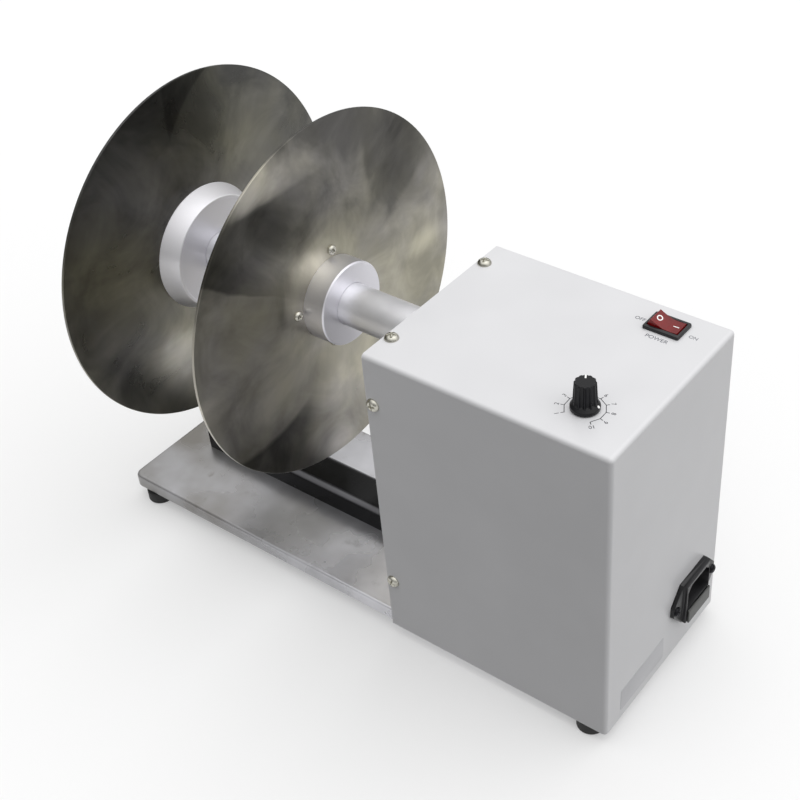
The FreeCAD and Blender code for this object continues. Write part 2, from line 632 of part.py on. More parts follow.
def posts():
    """Four round posts between the wall pan and the rear plate, tapped at both ends."""
    post = body("post_form")
    length = "plate_offset - wall_sheet"
    revolve(post, [("0", "m4_radius + slip_fit"), ("m4_length", "m4_radius + slip_fit"), ("m4_length", "0"),
                   (length + " - m4_length", "0"), (length + " - m4_length", "m4_radius + slip_fit"),
                   (length, "m4_radius + slip_fit"), (length, "post_radius"), ("0", "post_radius")])
    screw = pan_screw("post_screw_form", "m4", "m4_length")
    x = "case_face + wall_sheet"
    seats = [((x, y, z), Rotation()) for y, z in post_spots()]
    screws = [(("case_face", y, z), FACING["left"]) for y, z in post_spots()]
    screws += [(("plate_back", y, z), FACING["right"]) for y, z in post_spots()]
    bolts = [(("housing_face + housing_flange", y, z), FACING["right"]) for y, z in housing_bolt_spots()]
    bolt = pan_screw("housing_screw_form", "m4", "(housing_flange + wall_sheet)")
    return [group("drive_posts", post, seats), group("drive_post_screws", screw, screws),
            group("housing_screws", bolt, bolts)]


def journal_bush():
    """Flanged bronze bush in the rear plate, for the spindle's journal."""
    bush = body("journal_bush", x="plate_face", z="axis_height")
    bore = "journal_radius + running_fit"
    revolve(bush, [("-bush_flange", bore), ("plate_sheet + bush_tail", bore),
                   ("plate_sheet + bush_tail", "bush_radius"), ("0", "bush_radius"),
                   ("0", "bush_flange_radius"), ("-bush_flange", "bush_flange_radius")])
    return bush


def spindle():
    """Turned spindle: a plain stretch with a mark for the outer flange, a gear seat, a journal."""
    shaft = body("spindle", x="spindle_left", z="axis_height")
    shoulder = "bearing_back - spindle_left"
    seat_end = "gear_back - spindle_left"
    groove = "(outer_collar_end - spindle_left - mark_groove_gap)"
    end = "gear_back - spindle_left + journal_length"
    revolve(shaft, [("0", "0"), (end, "0"), (end, "journal_radius"), (seat_end, "journal_radius"),
                    (seat_end, "gear_seat_radius"), (shoulder, "gear_seat_radius"),
                    (shoulder, "spindle_radius"), (groove, "spindle_radius"),
                    (groove, "spindle_radius - mark_groove_depth"),
                    (groove + " - mark_groove_width", "spindle_radius - mark_groove_depth"),
                    (groove + " - mark_groove_width", "spindle_radius"), ("0", "spindle_radius")])
    chamfer(shaft, lambda box: flat(box, "X", "0"), "spindle_chamfer")
    return shaft


def spindle_rings():
    """Retaining ring behind the bush, and the sleeve that keeps the gear off the bearing."""
    start = "plate_back + bush_tail + part_gap"
    ring = body("retaining_ring", x=start, z="axis_height")
    revolve(ring, washer_corners("0", "ring_width", "journal_radius", "ring_radius"))
    sleeve = body("spacer_sleeve", x="bearing_back", z="axis_height")
    revolve(sleeve, washer_corners("0", "gear_face - bearing_back", "gear_seat_radius + slip_fit", "sleeve_radius"))
    return [ring, sleeve]


def flange_disc(name, face):
    """Ground flange disc with a hole for the hub's collar and four screw holes."""
    disc = body(name, x=face + " - disc_sheet", z="axis_height")
    revolve(disc, washer_corners("0", "disc_sheet", "collar_radius + slip_fit", "disc_radius"))
    holes = sketch_on(disc, "YZ_Plane")
    circle(holes, "disc_screw_circle * cos(disc_screw_turn)", "disc_screw_circle * sin(disc_screw_turn)",
           "m3_radius + hole_fit")
    ring_pattern(disc, pocket(disc, holes, back=True), "X_Axis", "4")
    return disc


def core_hub(name, face, facing, bore):
    """Hub turned in one piece: a collar through the disc and a tapered nose for the core."""
    hub = body(name, x=face, z="axis_height", turn=FACING[facing])
    rear = "-(disc_sheet + collar_length)"
    lip = "hub_nose_radius - hub_rim"
    revolve(hub, [(rear, bore), ("hub_length - hub_dish", bore), ("hub_length - hub_dish", lip),
                  ("hub_length", lip), ("hub_length", "hub_nose_radius"), ("0", "hub_base_radius"),
                  ("0", "collar_radius"), (rear + " + collar_chamfer", "collar_radius"),
                  (rear, "collar_radius - collar_chamfer")])
    turn = "disc_screw_turn" if facing == "right" else "-disc_screw_turn"
    holes = sketch_on(hub, "YZ_Plane")
    circle(holes, "disc_screw_circle * cos(%s)" % turn, "disc_screw_circle * sin(%s)" % turn,
           "m3_radius + slip_fit")
    ring_pattern(hub, pocket(hub, holes, "m3_length", back=True), "X_Axis", "4")
    return hub


def collar_hole(hub, role, offset, radius, back):
    """Radial hole from the bore out through one side of a hub's collar."""
    sketch = sketch_on(hub, role)
    circle(sketch, "-(disc_sheet + %s)" % offset, "0", radius)
    pocket(hub, sketch, back=back)


def inner_flange():
    """Flange fixed on the spindle: disc, hub, four disc screws and two grub screws."""
    disc = flange_disc("inner_disc", "inner_face")
    hub = core_hub("inner_hub", "inner_face - disc_sheet", "left", "spindle_radius + slip_fit")
    collar_hole(hub, "XY_Plane", "collar_length / 2", "grub_radius + slip_fit", False)
    collar_hole(hub, "XZ_Plane", "collar_length / 2", "grub_radius + slip_fit", True)
    screw = pan_screw("inner_screw_form", "m3", "m3_length")
    grub = grub_screw("hub_grub_form", "grub_radius", "grub_length")
    middle = "inner_face + collar_length / 2"
    grubs = [((middle, "0", "axis_height - spindle_radius"), FACING["down"]),
             ((middle, "spindle_radius", "axis_height"), FACING["rear"])]
    return [disc, hub, group("inner_hub_screws", screw, disc_screw_seats("inner_face", "right")),
            group("hub_grub_screws", grub, grubs)]


def outer_flange():
    """Flange that slides on the spindle and is held by a thumb screw in its collar."""
    disc = flange_disc("outer_disc", "outer_face")
    hub = core_hub("outer_hub", "outer_face", "right", "spindle_radius + slide_fit")
    collar_hole(hub, "XY_Plane", "thumb_offset", "thumb_shank_radius + slip_fit", True)
    screw = pan_screw("outer_screw_form", "m3", "m3_length")
    seats = disc_screw_seats("outer_face - disc_sheet", "left")
    return [disc, hub, group("outer_hub_screws", screw, seats), thumb_screw()]


def disc_screw_seats(face, facing):
    radius = "disc_screw_circle"
    angles = ["(disc_screw_turn + %d)" % step for step in (0, 90, 180, 270)]
    return [((face, "%s * cos(%s)" % (radius, angle), "axis_height + %s * sin(%s)" % (radius, angle)),
             FACING[facing]) for angle in angles]


def grub_screw(name, radius, length):
    """Set screw with a hexagon socket; its point is at the origin, its socket towards +X."""
    grub = body(name)
    revolve(grub, [("0", "0"), (length, "0"), (length, radius), ("0.5", radius), ("0", radius + " * 0.6")])
    socket = sketch_on(grub, "YZ_Plane", length)
    reach = "(%s * 0.55)" % radius
    outline(socket, [("%s * cos(%d)" % (reach, angle), "%s * sin(%d)" % (reach, angle))
                     for angle in range(0, 360, 60)])
    pocket(grub, socket, radius)
    return grub


def thumb_screw():
    """Knurled thumb screw of the outer collar, standing on the spindle."""
    screw = body("thumb_screw", x="outer_face - disc_sheet - thumb_offset",
                 z="axis_height + spindle_radius + slip_fit", turn=FACING["up"])
    neck = "collar_radius - spindle_radius + thumb_neck"
    top = neck + " + thumb_length"
    revolve(screw, [("0", "0"), (top, "0"), (top, "thumb_radius - 0.8"), (top + " - 0.8", "thumb_radius"),
                    (neck, "thumb_radius"), (neck, "thumb_shank_radius"), ("0.8", "thumb_shank_radius"),
                    ("0", "thumb_shank_radius - 0.8")])
    groove = sketch_on(screw, "YZ_Plane", neck)
    circle(groove, "thumb_radius", "0", "thumb_groove")
    ring_pattern(screw, pocket(screw, groove, back=True), "X_Axis", "thumb_knurls")
    return screw


def gear_outline(teeth):
    """Spur gear outline with 20 degree involute flanks, as a face square to the spindle."""
    module = number("gear_module")
    pitch = module * teeth / 2
    base = pitch * math.cos(math.radians(20))
    root, tip = pitch - 1.25 * module, pitch + module
    slack = number("gear_backlash") / (4 * pitch)

    def involute(angle):
        return math.tan(angle) - angle

    def half_angle(radius):
        pressure = math.acos(min(1.0, base / radius))
        return math.pi / (2 * teeth) - slack + involute(math.radians(20)) - involute(pressure)

    low = max(root, base)
    radii = [low + (tip - low) * step / 4 for step in range(5)]
    flank = [(radius, half_angle(radius)) for radius in radii]
    if root < base:
        flank.insert(0, (root, half_angle(base)))
    points = []
    for tooth in range(teeth):
        middle = 2 * math.pi * tooth / teeth
        for radius, half in flank:
            points.append((radius, middle - half))
        for radius, half in reversed(flank):
            points.append((radius, middle + half))
    corners = [Vector(0, radius * math.cos(angle), radius * math.sin(angle)) for radius, angle in points]
    return Part.Face(Part.makePolygon(corners + corners[:1]))


def gear(name, teeth, bore, hub, hub_length, height, grub_side):
    """Spur gear with a hub behind it and a radial hole for its grub screw."""
    width, tail = number("gear_width"), number(hub_length)
    solid = gear_outline(int(number(teeth))).extrude(Vector(width, 0, 0))
    solid = solid.fuse(Part.makeCylinder(number(hub), width + tail, Vector(), Vector(1, 0, 0)))
    solid = solid.cut(Part.makeCylinder(number(bore), width + tail, Vector(), Vector(1, 0, 0)))
    hole = Part.makeCylinder(number("small_grub_radius + slip_fit"), number(hub),
                             Vector(width + tail / 2, 0, 0), Vector(0, 0, grub_side))
    node = doc.addObject("Part::Feature", name)
    node.Label = name
    node.Shape = solid.cut(hole).removeSplitter()
    node.Placement = Placement(Vector(number("gear_face"), 0, number(height)), Rotation())
    return node


def gear_train():
    """Large gear on the spindle and pinion on the gearmotor shaft, with their grub screws."""
    wheel = gear("spindle_gear", "gear_teeth", "gear_seat_radius + slip_fit", "gear_hub_radius",
                 "gear_hub_length", "axis_height", 1)
    pinion = gear("pinion", "pinion_teeth", "output_radius + slip_fit", "pinion_hub_radius",
                  "pinion_hub_length", "pinion_height", -1)
    wheel_grub = grub_screw("gear_grub_form", "small_grub_radius", "gear_grub_length")
    pinion_grub = grub_screw("pinion_grub_form", "small_grub_radius", "pinion_grub_length")
    above = ("gear_face + gear_width + gear_hub_length / 2", "0", "axis_height + gear_seat_radius")
    below = ("gear_face + gear_width + pinion_hub_length / 2", "0", "pinion_height - output_radius")
    return [wheel, pinion, group("gear_grub_screw", wheel_grub, [(above, FACING["up"])]),
            group("pinion_grub_screw", pinion_grub, [(below, FACING["down"])])]


def gearmotor():
    """Gearmotor behind the rear plate: gearhead, motor can, end cap, tabs and output shaft."""
    head = body("gearhead", x="plate_back", z="pinion_height")
    bore, depth = "output_radius + running_fit", "output_depth - plate_sheet"
    revolve(head, [("-plate_sheet", bore), (depth, bore), (depth, "0"), ("gearhead_length", "0"),
                   ("gearhead_length", "gearhead_radius"), ("0", "gearhead_radius"),
                   ("0", "gearhead_boss_radius"), ("-plate_sheet", "gearhead_boss_radius")])
    holes = sketch_on(head, "YZ_Plane")
    for y, z in gearhead_bolt_spots():
        circle(holes, y, z + " - pinion_height", "m3_radius + slip_fit")
    pocket(head, holes, "m3_length", back=True)
    can = body("motor_can", x="motor_face", z="pinion_height")
    revolve(can, [("0", "0"), ("motor_length", "0"), ("motor_length", "motor_radius - 1.5"),
                  ("motor_length - 1.5", "motor_radius"), ("0", "motor_radius")])
    cap = body("motor_end_cap", x="motor_face + motor_length", z="pinion_height")
    revolve(cap, [("0", "0"), ("motor_cap_length + 2", "0"), ("motor_cap_length + 2", "motor_cap_radius / 3"),
                  ("motor_cap_length", "motor_cap_radius / 3"), ("motor_cap_length", "motor_cap_radius"),
                  ("0", "motor_cap_radius")])
    shaft = body("output_shaft", x="gear_face - 1", z="pinion_height")
    length = "plate_back + %s - part_gap - gear_face + 1" % depth
    revolve(shaft, [("0", "0"), (length, "0"), (length, "output_radius"), ("0.5", "output_radius"),
                    ("0", "output_radius - 0.5")])
    screw = pan_screw("gearhead_screw_form", "m3", "m3_length")
    seats = [(("plate_face", y, z), FACING["left"]) for y, z in gearhead_bolt_spots()]
    tab = tab_form("motor_tab_form", "tab_length * 0.6")
    back = "motor_face + motor_length + motor_cap_length"
    tabs = [((back, side, "pinion_height"), FACING["right"]) for side in ("-motor_cap_radius * 0.7",
                                                                         "motor_cap_radius * 0.7")]
    return [head, can, cap, shaft, group("gearhead_screws", screw, seats), group("motor_tabs", tab, tabs)]


def tab_form(name, length):
    """Flat connector tab that stands on the origin and points along +X."""
    tab = body(name)
    section = sketch_on(tab, "YZ_Plane")
    rectangle(section, "-tab_thick / 2", "tab_thick / 2", "-tab_wide / 2", "tab_wide / 2")
    pad(tab, section, length)
    return tab


def speed_control():
    """Fluted knob on the shaft of a panel potentiometer, held by a nut under the knob."""
    knob = body("speed_knob", x="control_x", y="knob_offset", z="case_roof + knob_lift")
    shaft_top, nut_room = "pot_shaft_rise - knob_lift", "pot_nut_height + part_gap"
    bush_top, bush_room = "pot_bush_rise - knob_lift + part_gap", "pot_bush_radius + part_gap"
    revolve(knob, [("0", "pot_nut_radius + 0.4"), ("0", "knob_skirt_radius"),
                   ("knob_skirt * 0.6", "knob_skirt_radius"), ("knob_skirt", "knob_foot_radius"),
                   ("knob_height - knob_top_bevel", "knob_top_radius"),
                   ("knob_height", "knob_top_radius - knob_top_bevel"), ("knob_height", "0"),
                   (shaft_top, "0"), (shaft_top, "pot_shaft_radius"), (bush_top, "pot_shaft_radius"),
                   (bush_top, bush_room), (nut_room, bush_room), (nut_room, "pot_nut_radius + 0.4")],
            upright=True)
    flute = sketch_on(knob, "XY_Plane", "knob_skirt")
    turn = "(knob_mark_turn + 180 / knob_flutes)"
    reach = "(knob_foot_radius + 0.1)"
    circle(flute, "%s * cos(%s)" % (reach, turn), "%s * sin(%s)" % (reach, turn), "knob_flute_radius")
    ring_pattern(knob, pocket(knob, flute, back=True), "Z_Axis", "knob_flutes")
    mark = sketch_on(knob, "XY_Plane", "knob_height - knob_mark_depth")
    outline(mark, [mark_corner(along, side) for along, side in
                   (("knob_mark_start", "-"), ("9", "-"), ("9", ""), ("knob_mark_start", ""))])
    pocket(knob, mark, back=True)
    return [knob] + potentiometer()


def mark_corner(along, sign):
    """Corner of the slot in the knob's top, given along its direction and to one side of it."""
    half = "(%sknob_mark_width / 2)" % sign
    return ("%s * cos(knob_mark_turn) - %s * sin(knob_mark_turn)" % (along, half),
            "%s * sin(knob_mark_turn) + %s * cos(knob_mark_turn)" % (along, half))


def potentiometer():
    """Panel potentiometer: round body under the roof, bush through it, shaft and nut."""
    seat = dict(x="control_x", y="knob_offset", z="case_roof")
    pot = body("potentiometer_body", **seat)
    bore, roof = "pot_shaft_radius + running_fit", "-case_sheet"
    floor = "-(pot_shaft_drop + part_gap)"
    revolve(pot, [("pot_bush_rise", bore), (floor, bore), (floor, "0"), (roof + " - pot_depth", "0"),
                  (roof + " - pot_depth", "pot_radius"), (roof, "pot_radius"), (roof, "pot_bush_radius"),
                  ("pot_bush_rise", "pot_bush_radius")], upright=True)
    shaft = body("potentiometer_shaft", **seat)
    revolve(shaft, [("-pot_shaft_drop", "0"), ("pot_shaft_rise", "0"), ("pot_shaft_rise", "pot_shaft_radius"),
                    ("-pot_shaft_drop", "pot_shaft_radius")], upright=True)
    nut = body("potentiometer_nut", **seat)
    flats = sketch_on(nut, "XY_Plane")
    outline(flats, [("pot_nut_radius * cos(%d)" % angle, "pot_nut_radius * sin(%d)" % angle)
                    for angle in range(0, 360, 60)])
    circle(flats, "0", "0", "pot_bush_radius + slip_fit")
    pad(nut, flats, "pot_nut_height")
    return [pot, shaft, nut]


def power_switch():
    """Rocker switch: body with bezel and well, rocker on two pins, three tabs below."""
    switch = body("switch_body", x="control_x", y="switch_offset", z="case_roof")
    bezel = sketch_on(switch, "XY_Plane")
    rectangle(bezel, "-bezel_length / 2", "bezel_length / 2", "-bezel_width / 2", "bezel_width / 2")
    pad(switch, bezel, "bezel_height")
    fillet(switch, lambda box: box.ZLength > 1, "1")
    chamfer(switch, lambda box: flat(box, "Z", "bezel_height"), "bezel_bevel")
    block = sketch_on(switch, "XY_Plane")
    rectangle(block, "-switch_length / 2", "switch_length / 2", "-switch_width / 2", "switch_width / 2")
    pad(switch, block, "switch_depth", back=True)
    well = sketch_on(switch, "XY_Plane", "bezel_height")
    half_long, half_wide = "(rocker_radius + part_gap)", "(rocker_width / 2 + part_gap)"
    rectangle(well, "-" + half_long, half_long, "-" + half_wide, half_wide)
    pocket(switch, well, "switch_well")
    pins = sketch_on(switch, "XZ_Plane")
    circle(pins, "0", "bezel_height - rocker_sink", "rocker_pin_radius + running_fit")
    pocket(switch, pins, "switch_width", both=True)
    tab = tab_form("switch_tab_form", "tab_length")
    below = "case_roof - switch_depth"
    seats = [(("control_x %s" % step, "switch_offset", below), FACING["down"])
             for step in ("- switch_tab_step", "+ 0", "+ switch_tab_step")]
    return [switch, rocker(), group("switch_tabs", tab, seats)]


def rocker():
    """Rocker with two sloping faces and round ends, resting with its case end pressed."""
    turn = Rotation(Vector(0, 1, 0), number("rocker_tilt"))
    key = body("rocker", x="control_x", y="switch_offset", z="case_roof + bezel_height - rocker_sink", turn=turn)
    drum = sketch_on(key, "XZ_Plane")
    circle(drum, "0", "0", "rocker_radius")
    pad(key, drum, "rocker_width", both=True)
    above = sketch_on(key, "XZ_Plane")
    rise = "(rocker_waist + 10 * tan(rocker_tilt))"
    outline(above, [("-10", rise), ("0", "rocker_waist"), ("10", rise), ("10", "20"), ("-10", "20")])
    pocket(key, above, "rocker_width + 2", both=True)
    below = sketch_on(key, "XZ_Plane")
    rectangle(below, "-10", "10", "-10", "-rocker_belly")
    pocket(key, below, "rocker_width + 2", both=True)
    pins = sketch_on(key, "XZ_Plane")
    circle(pins, "0", "0", "rocker_pin_radius")
    pad(key, pins, "rocker_width + 2 * rocker_pin_reach", both=True)
    return key


def power_inlet():
    """Appliance inlet with three pins above a pull-out fuse drawer."""
    inlet = body("inlet_body", x="case_end", y="inlet_offset", z="inlet_height_mid")
    half, tall, ear = "inlet_half_width", "inlet_height / 2", "inlet_ear_height / 2"
    plate = sketch_on(inlet, "YZ_Plane")
    outline(plate, [("-" + half, "-" + tall), (half, "-" + tall), ("inlet_ear_half", "-" + ear),
                    ("inlet_ear_half", ear), (half, tall), ("-" + half, tall), ("-inlet_ear_half", ear),
                    ("-inlet_ear_half", "-" + ear)])
    pad(inlet, plate, "inlet_flange")
    fillet(inlet, lambda box: box.XLength > 1 and near(abs(box.YMin), "inlet_ear_half"), "inlet_ear_round")
    front = sketch_on(inlet, "YZ_Plane")
    rectangle(front, "-inlet_block_half", "inlet_block_half", "0.1 - " + tall, tall + " - 0.1")
    pad(inlet, front, "inlet_stand")
    fillet(inlet, lambda box: flat(box, "X", "inlet_stand"), "0.6")
    rear = sketch_on(inlet, "YZ_Plane")
    deep = "inlet_body_height / 2"
    rectangle(rear, "-inlet_body_half", "inlet_body_half", "-" + deep, deep)
    pad(inlet, rear, "inlet_depth", back=True)
    cut_inlet(inlet)
    return [inlet, inlet_pins(), fuse_drawer(), fuse()] + inlet_fasteners()


def cut_inlet(inlet):
    """Socket with two bevelled corners, pin slots, drawer slot and screw holes."""
    top = "inlet_height / 2 - socket_top_wall"
    low = "inlet_height / 2 - socket_top_wall - socket_height"
    socket = sketch_on(inlet, "YZ_Plane", "inlet_stand")
    outline(socket, [("-socket_half", low), ("socket_half", low), ("socket_half", top + " - socket_corner"),
                     ("socket_half - socket_corner", top), ("socket_corner - socket_half", top),
                     ("-socket_half", top + " - socket_corner")])
    pocket(inlet, socket, "socket_depth")
    drawer = sketch_on(inlet, "YZ_Plane", "inlet_stand")
    rectangle(drawer, "-(drawer_half + part_gap)", "drawer_half + part_gap", "drawer_rise - part_gap",
              "drawer_rise + drawer_height + part_gap")
    pocket(inlet, drawer, "drawer_depth + part_gap")
    slots = sketch_on(inlet, "YZ_Plane")
    for y, z in pin_spots():
        rectangle(slots, y + " - pin_thick / 2", y + " + pin_thick / 2", z + " - pin_tall / 2",
                  z + " + pin_tall / 2")
    pocket(inlet, slots)
    holes = sketch_on(inlet, "YZ_Plane")
    for sign in ("-", ""):
        circle(holes, sign + "inlet_screw_half", "0", "m3_radius + hole_fit")
    pocket(inlet, holes, back=True)


def pin_spots():
    """Pin centres in the inlet's own frame: the earth pin above the other two."""
    middle = "inlet_height / 2 - socket_top_wall - socket_height / 2"
    return [("-pin_spread", "(%s - pin_step)" % middle), ("0", "(%s + pin_step)" % middle),
            ("pin_spread", "(%s - pin_step)" % middle)]


def inlet_pins():
    """Three plated pins of the socket, each ending in a tab behind the inlet."""
    pin = body("inlet_pin_form")
    blade = sketch_on(pin, "YZ_Plane")
    rectangle(blade, "-pin_thick / 2", "pin_thick / 2", "-pin_tall / 2", "pin_tall / 2")
    pad(pin, blade, "inlet_stand - pin_sink + inlet_depth")
    chamfer(pin, lambda box: near(box.XMin, "inlet_stand - pin_sink + inlet_depth"), "0.5")
    tab = sketch_on(pin, "YZ_Plane")
    rectangle(tab, "-tab_thick / 2", "tab_thick / 2", "-pin_tall / 2", "pin_tall / 2")
    pad(pin, tab, "tab_length", back=True)
    seats = [(("case_end - inlet_depth", "inlet_offset + " + y, "inlet_height_mid + " + z), Rotation())
             for y, z in pin_spots()]
    return group("inlet_pins", pin, seats)


def fuse_drawer():
    """Drawer with a face plate and a trough for the fuse; it slides out of the inlet along X."""
    drawer = body("fuse_drawer", x="inlet_front + part_gap", y="inlet_offset", z="inlet_height_mid")
    face = sketch_on(drawer, "YZ_Plane")
    rectangle(face, "-drawer_face_half", "drawer_face_half", "drawer_face_low", "drawer_face_high")
    pad(drawer, face, "drawer_lip")
    fillet(drawer, lambda box: flat(box, "X", "drawer_lip"), "0.5")
    box = sketch_on(drawer, "YZ_Plane")
    rectangle(box, "-drawer_half", "drawer_half", "drawer_rise", "drawer_rise + drawer_height")
    pad(drawer, box, "drawer_depth", back=True)
    room = sketch_on(drawer, "XY_Plane", "drawer_rise + drawer_wall")
    half_long, half_wide = "(fuse_radius + hole_fit)", "(fuse_length / 2 + hole_fit)"
    rectangle(room, "-drawer_depth / 2 - " + half_long, "-drawer_depth / 2 + " + half_long,
              "-" + half_wide, half_wide)
    pocket(drawer, room, back=True)
    return drawer


def fuse():
    """Glass tube fuse with two end caps, lying across the drawer."""
    link = body("fuse", x="inlet_front + part_gap - drawer_depth / 2", y="inlet_offset - fuse_length / 2",
                z="inlet_height_mid + drawer_rise + drawer_wall + fuse_radius", turn=FACING["rear"])
    end = "fuse_length"
    revolve(link, [("0", "0"), (end, "0"), (end, "fuse_radius"), (end + " - fuse_cap", "fuse_radius"),
                   (end + " - fuse_cap", "fuse_neck"), ("fuse_cap", "fuse_neck"),
                   ("fuse_cap", "fuse_radius"), ("0", "fuse_radius")])
    return link


def inlet_fasteners():
    """Two screws through the inlet's ears and their nuts behind the end wall."""
    screw = pan_screw("inlet_screw_form", "m3", "inlet_screw_length")
    nut = hex_nut("inlet_nut_form", "m3", "m3_nut")
    sides = ["inlet_offset %s inlet_screw_half" % sign for sign in "-+"]
    screws = [(("case_end + inlet_flange", y, "inlet_height_mid"), FACING["right"]) for y in sides]
    nuts = [(("case_end - case_sheet", y, "inlet_height_mid"), FACING["left"]) for y in sides]
    return [group("inlet_screws", screw, screws), group("inlet_nuts", nut, nuts)]


def power_supply():
    """Vented supply case on the tray, its terminal block on top and two screws from below."""
    case = body("supply_case", x="case_face + supply_offset", y="supply_side", z="tray_top")
    half = "supply_width / 2"
    plan = sketch_on(case, "XY_Plane")
    rectangle(plan, "0", "supply_length", "-" + half, half)
    pad(case, plan, "supply_height")
    foot = sketch_on(case, "XY_Plane")
    rectangle(foot, "-supply_foot", "supply_length + supply_foot", "-supply_foot", "supply_foot")
    pad(case, foot, "supply_sheet")
    inside = sketch_on(case, "XY_Plane")
    rectangle(inside, "supply_sheet", "supply_length - supply_sheet", "supply_sheet - " + half,
              half + " - supply_sheet")
    pocket(case, inside, "supply_height - supply_sheet", back=True)
    holes = sketch_on(case, "XY_Plane")
    for x in ("-supply_foot / 2", "supply_length + supply_foot / 2"):
        circle(holes, x, "0", "m3_radius + slip_fit")
    for step in range(6):
        left = "vent_start + vent_pitch * %d" % step
        rectangle(holes, left, left + " + vent_width", "vent_inset - " + half, half + " - vent_inset")
    pocket(case, holes, back=True)
    block = body("supply_terminals", x="case_face + supply_offset + supply_length - terminal_width - 4",
                 y="supply_side", z="tray_top + supply_height")
    base = sketch_on(block, "XY_Plane")
    rectangle(base, "0", "terminal_width", "-terminal_length / 2", "terminal_length / 2")
    pad(block, base, "terminal_height")
    bays = sketch_on(block, "XY_Plane", "terminal_height / 3")
    for bay in (-1.5, -0.5, 0.5, 1.5):
        middle = "%s * terminal_length / 4.4" % bay
        rectangle(bays, "2", "terminal_width + 1", middle + " - 2.6", middle + " + 2.6")
    pocket(block, bays, back=True)
    screw = pan_screw("supply_screw_form", "m3", "m3_length")
    seats = [((x, y, "tray_under"), FACING["down"]) for x, y in supply_screw_spots()]
    return [case, block, group("supply_screws", screw, seats)]


def control_board():
    """Speed control board on four posts, with heat sink and two capacitors."""
    board = body("control_board", x="case_face + board_offset", y="board_side - board_width / 2",
                 z="tray_top + board_rise")
    plan = sketch_on(board, "XY_Plane")
    rectangle(plan, "0", "board_length", "0", "board_width")
    for x, y in board_spots():
        circle(plan, x + " - case_face - board_offset", y + " - board_side + board_width / 2",
               "m3_radius + hole_fit")
    pad(board, plan, "board_sheet")
    post = body("board_post_form")
    thread = "m3_radius + slip_fit"
    revolve(post, washer_corners("0", "board_rise", thread, "m3_head_radius"))
    screw = pan_screw("board_screw_form", "m3", "(m3_length - 1)")
    seats = [((x, y, "tray_top"), FACING["up"]) for x, y in board_spots()]
    screws = [((x, y, "tray_under"), FACING["down"]) for x, y in board_spots()]
    screws += [((x, y, "tray_top + board_rise + board_sheet"), FACING["up"]) for x, y in board_spots()]
    return [board, group("board_posts", post, seats), group("board_screws", screw, screws)] + board_parts()


def board_parts():
    """Finned heat sink and two capacitors that stand on the board."""
    level = "tray_top + board_rise + board_sheet"
    sink = body("heat_sink", x="case_face + board_offset + sink_start", y="board_side - sink_width / 2", z=level)
    comb = sketch_on(sink, "XY_Plane")
    fins = [("0", "0"), ("sink_length", "0")]
    for step in range(5, -1, -1):
        left = "%d * (sink_length - sink_fin) / 5" % step
        fins += [(left + " + sink_fin", "sink_width"), (left, "sink_width")]
        if step:
            before = "%d * (sink_length - sink_fin) / 5 + sink_fin" % (step - 1)
            fins += [(left, "sink_fin * 2"), (before, "sink_fin * 2")]
    outline(comb, fins)
    pad(sink, comb, "sink_height")
    can = body("capacitor_form")
    revolve(can, [("0", "0"), ("capacitor_height", "0"), ("capacitor_height", "capacitor_radius - 0.8"),
                  ("capacitor_height - 0.8", "capacitor_radius"), ("0", "capacitor_radius")])
    seats = [(("case_face + board_offset + board_length - 20", side, level), FACING["up"])
             for side in ("board_side - 10", "board_side + 10")]
    return [sink, group("capacitors", can, seats)]


def build():
    """Builds every sub-part and returns the nodes in the order of assembly."""
    nodes = [base_tray(), base_bar(), feet()] + tray_fasteners()
    nodes += [case_cover(), wall_pan()] + cover_fasteners()
    nodes += [bearing_housing()] + front_bearing() + [rear_plate()] + posts() + [journal_bush(), spindle()]
    nodes += spindle_rings() + gear_train() + gearmotor() + inner_flange() + outer_flange()
    nodes += speed_control() + power_switch() + power_inlet() + power_supply() + control_board()
    return nodes


def write_parts(nodes):
    doc.recompute()
    faulty = [item.Label for item in doc.Objects if "Invalid" in item.State or "Error" in item.State]
    faulty += [node.Label for node in nodes if node.Shape.isNull() or not node.Shape.isValid()]
    if faulty:
        raise RuntimeError("not built cleanly: " + ", ".join(faulty))
    os.makedirs("parts", exist_ok=True)
    for node in nodes:
        node.Shape.exportStep(os.path.join("parts", node.Label + ".step"))


write_parts(build())
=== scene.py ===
"""Label rewinder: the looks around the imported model.

New pieces are surfaces worked out with numpy, in millimetres. X runs along the spindle
from the discs to the case, Y away from the side with the screws, Z up from the table.
"""
import json
import math
import bpy
import bmesh
import numpy as np
from mathutils import Matrix, Vector

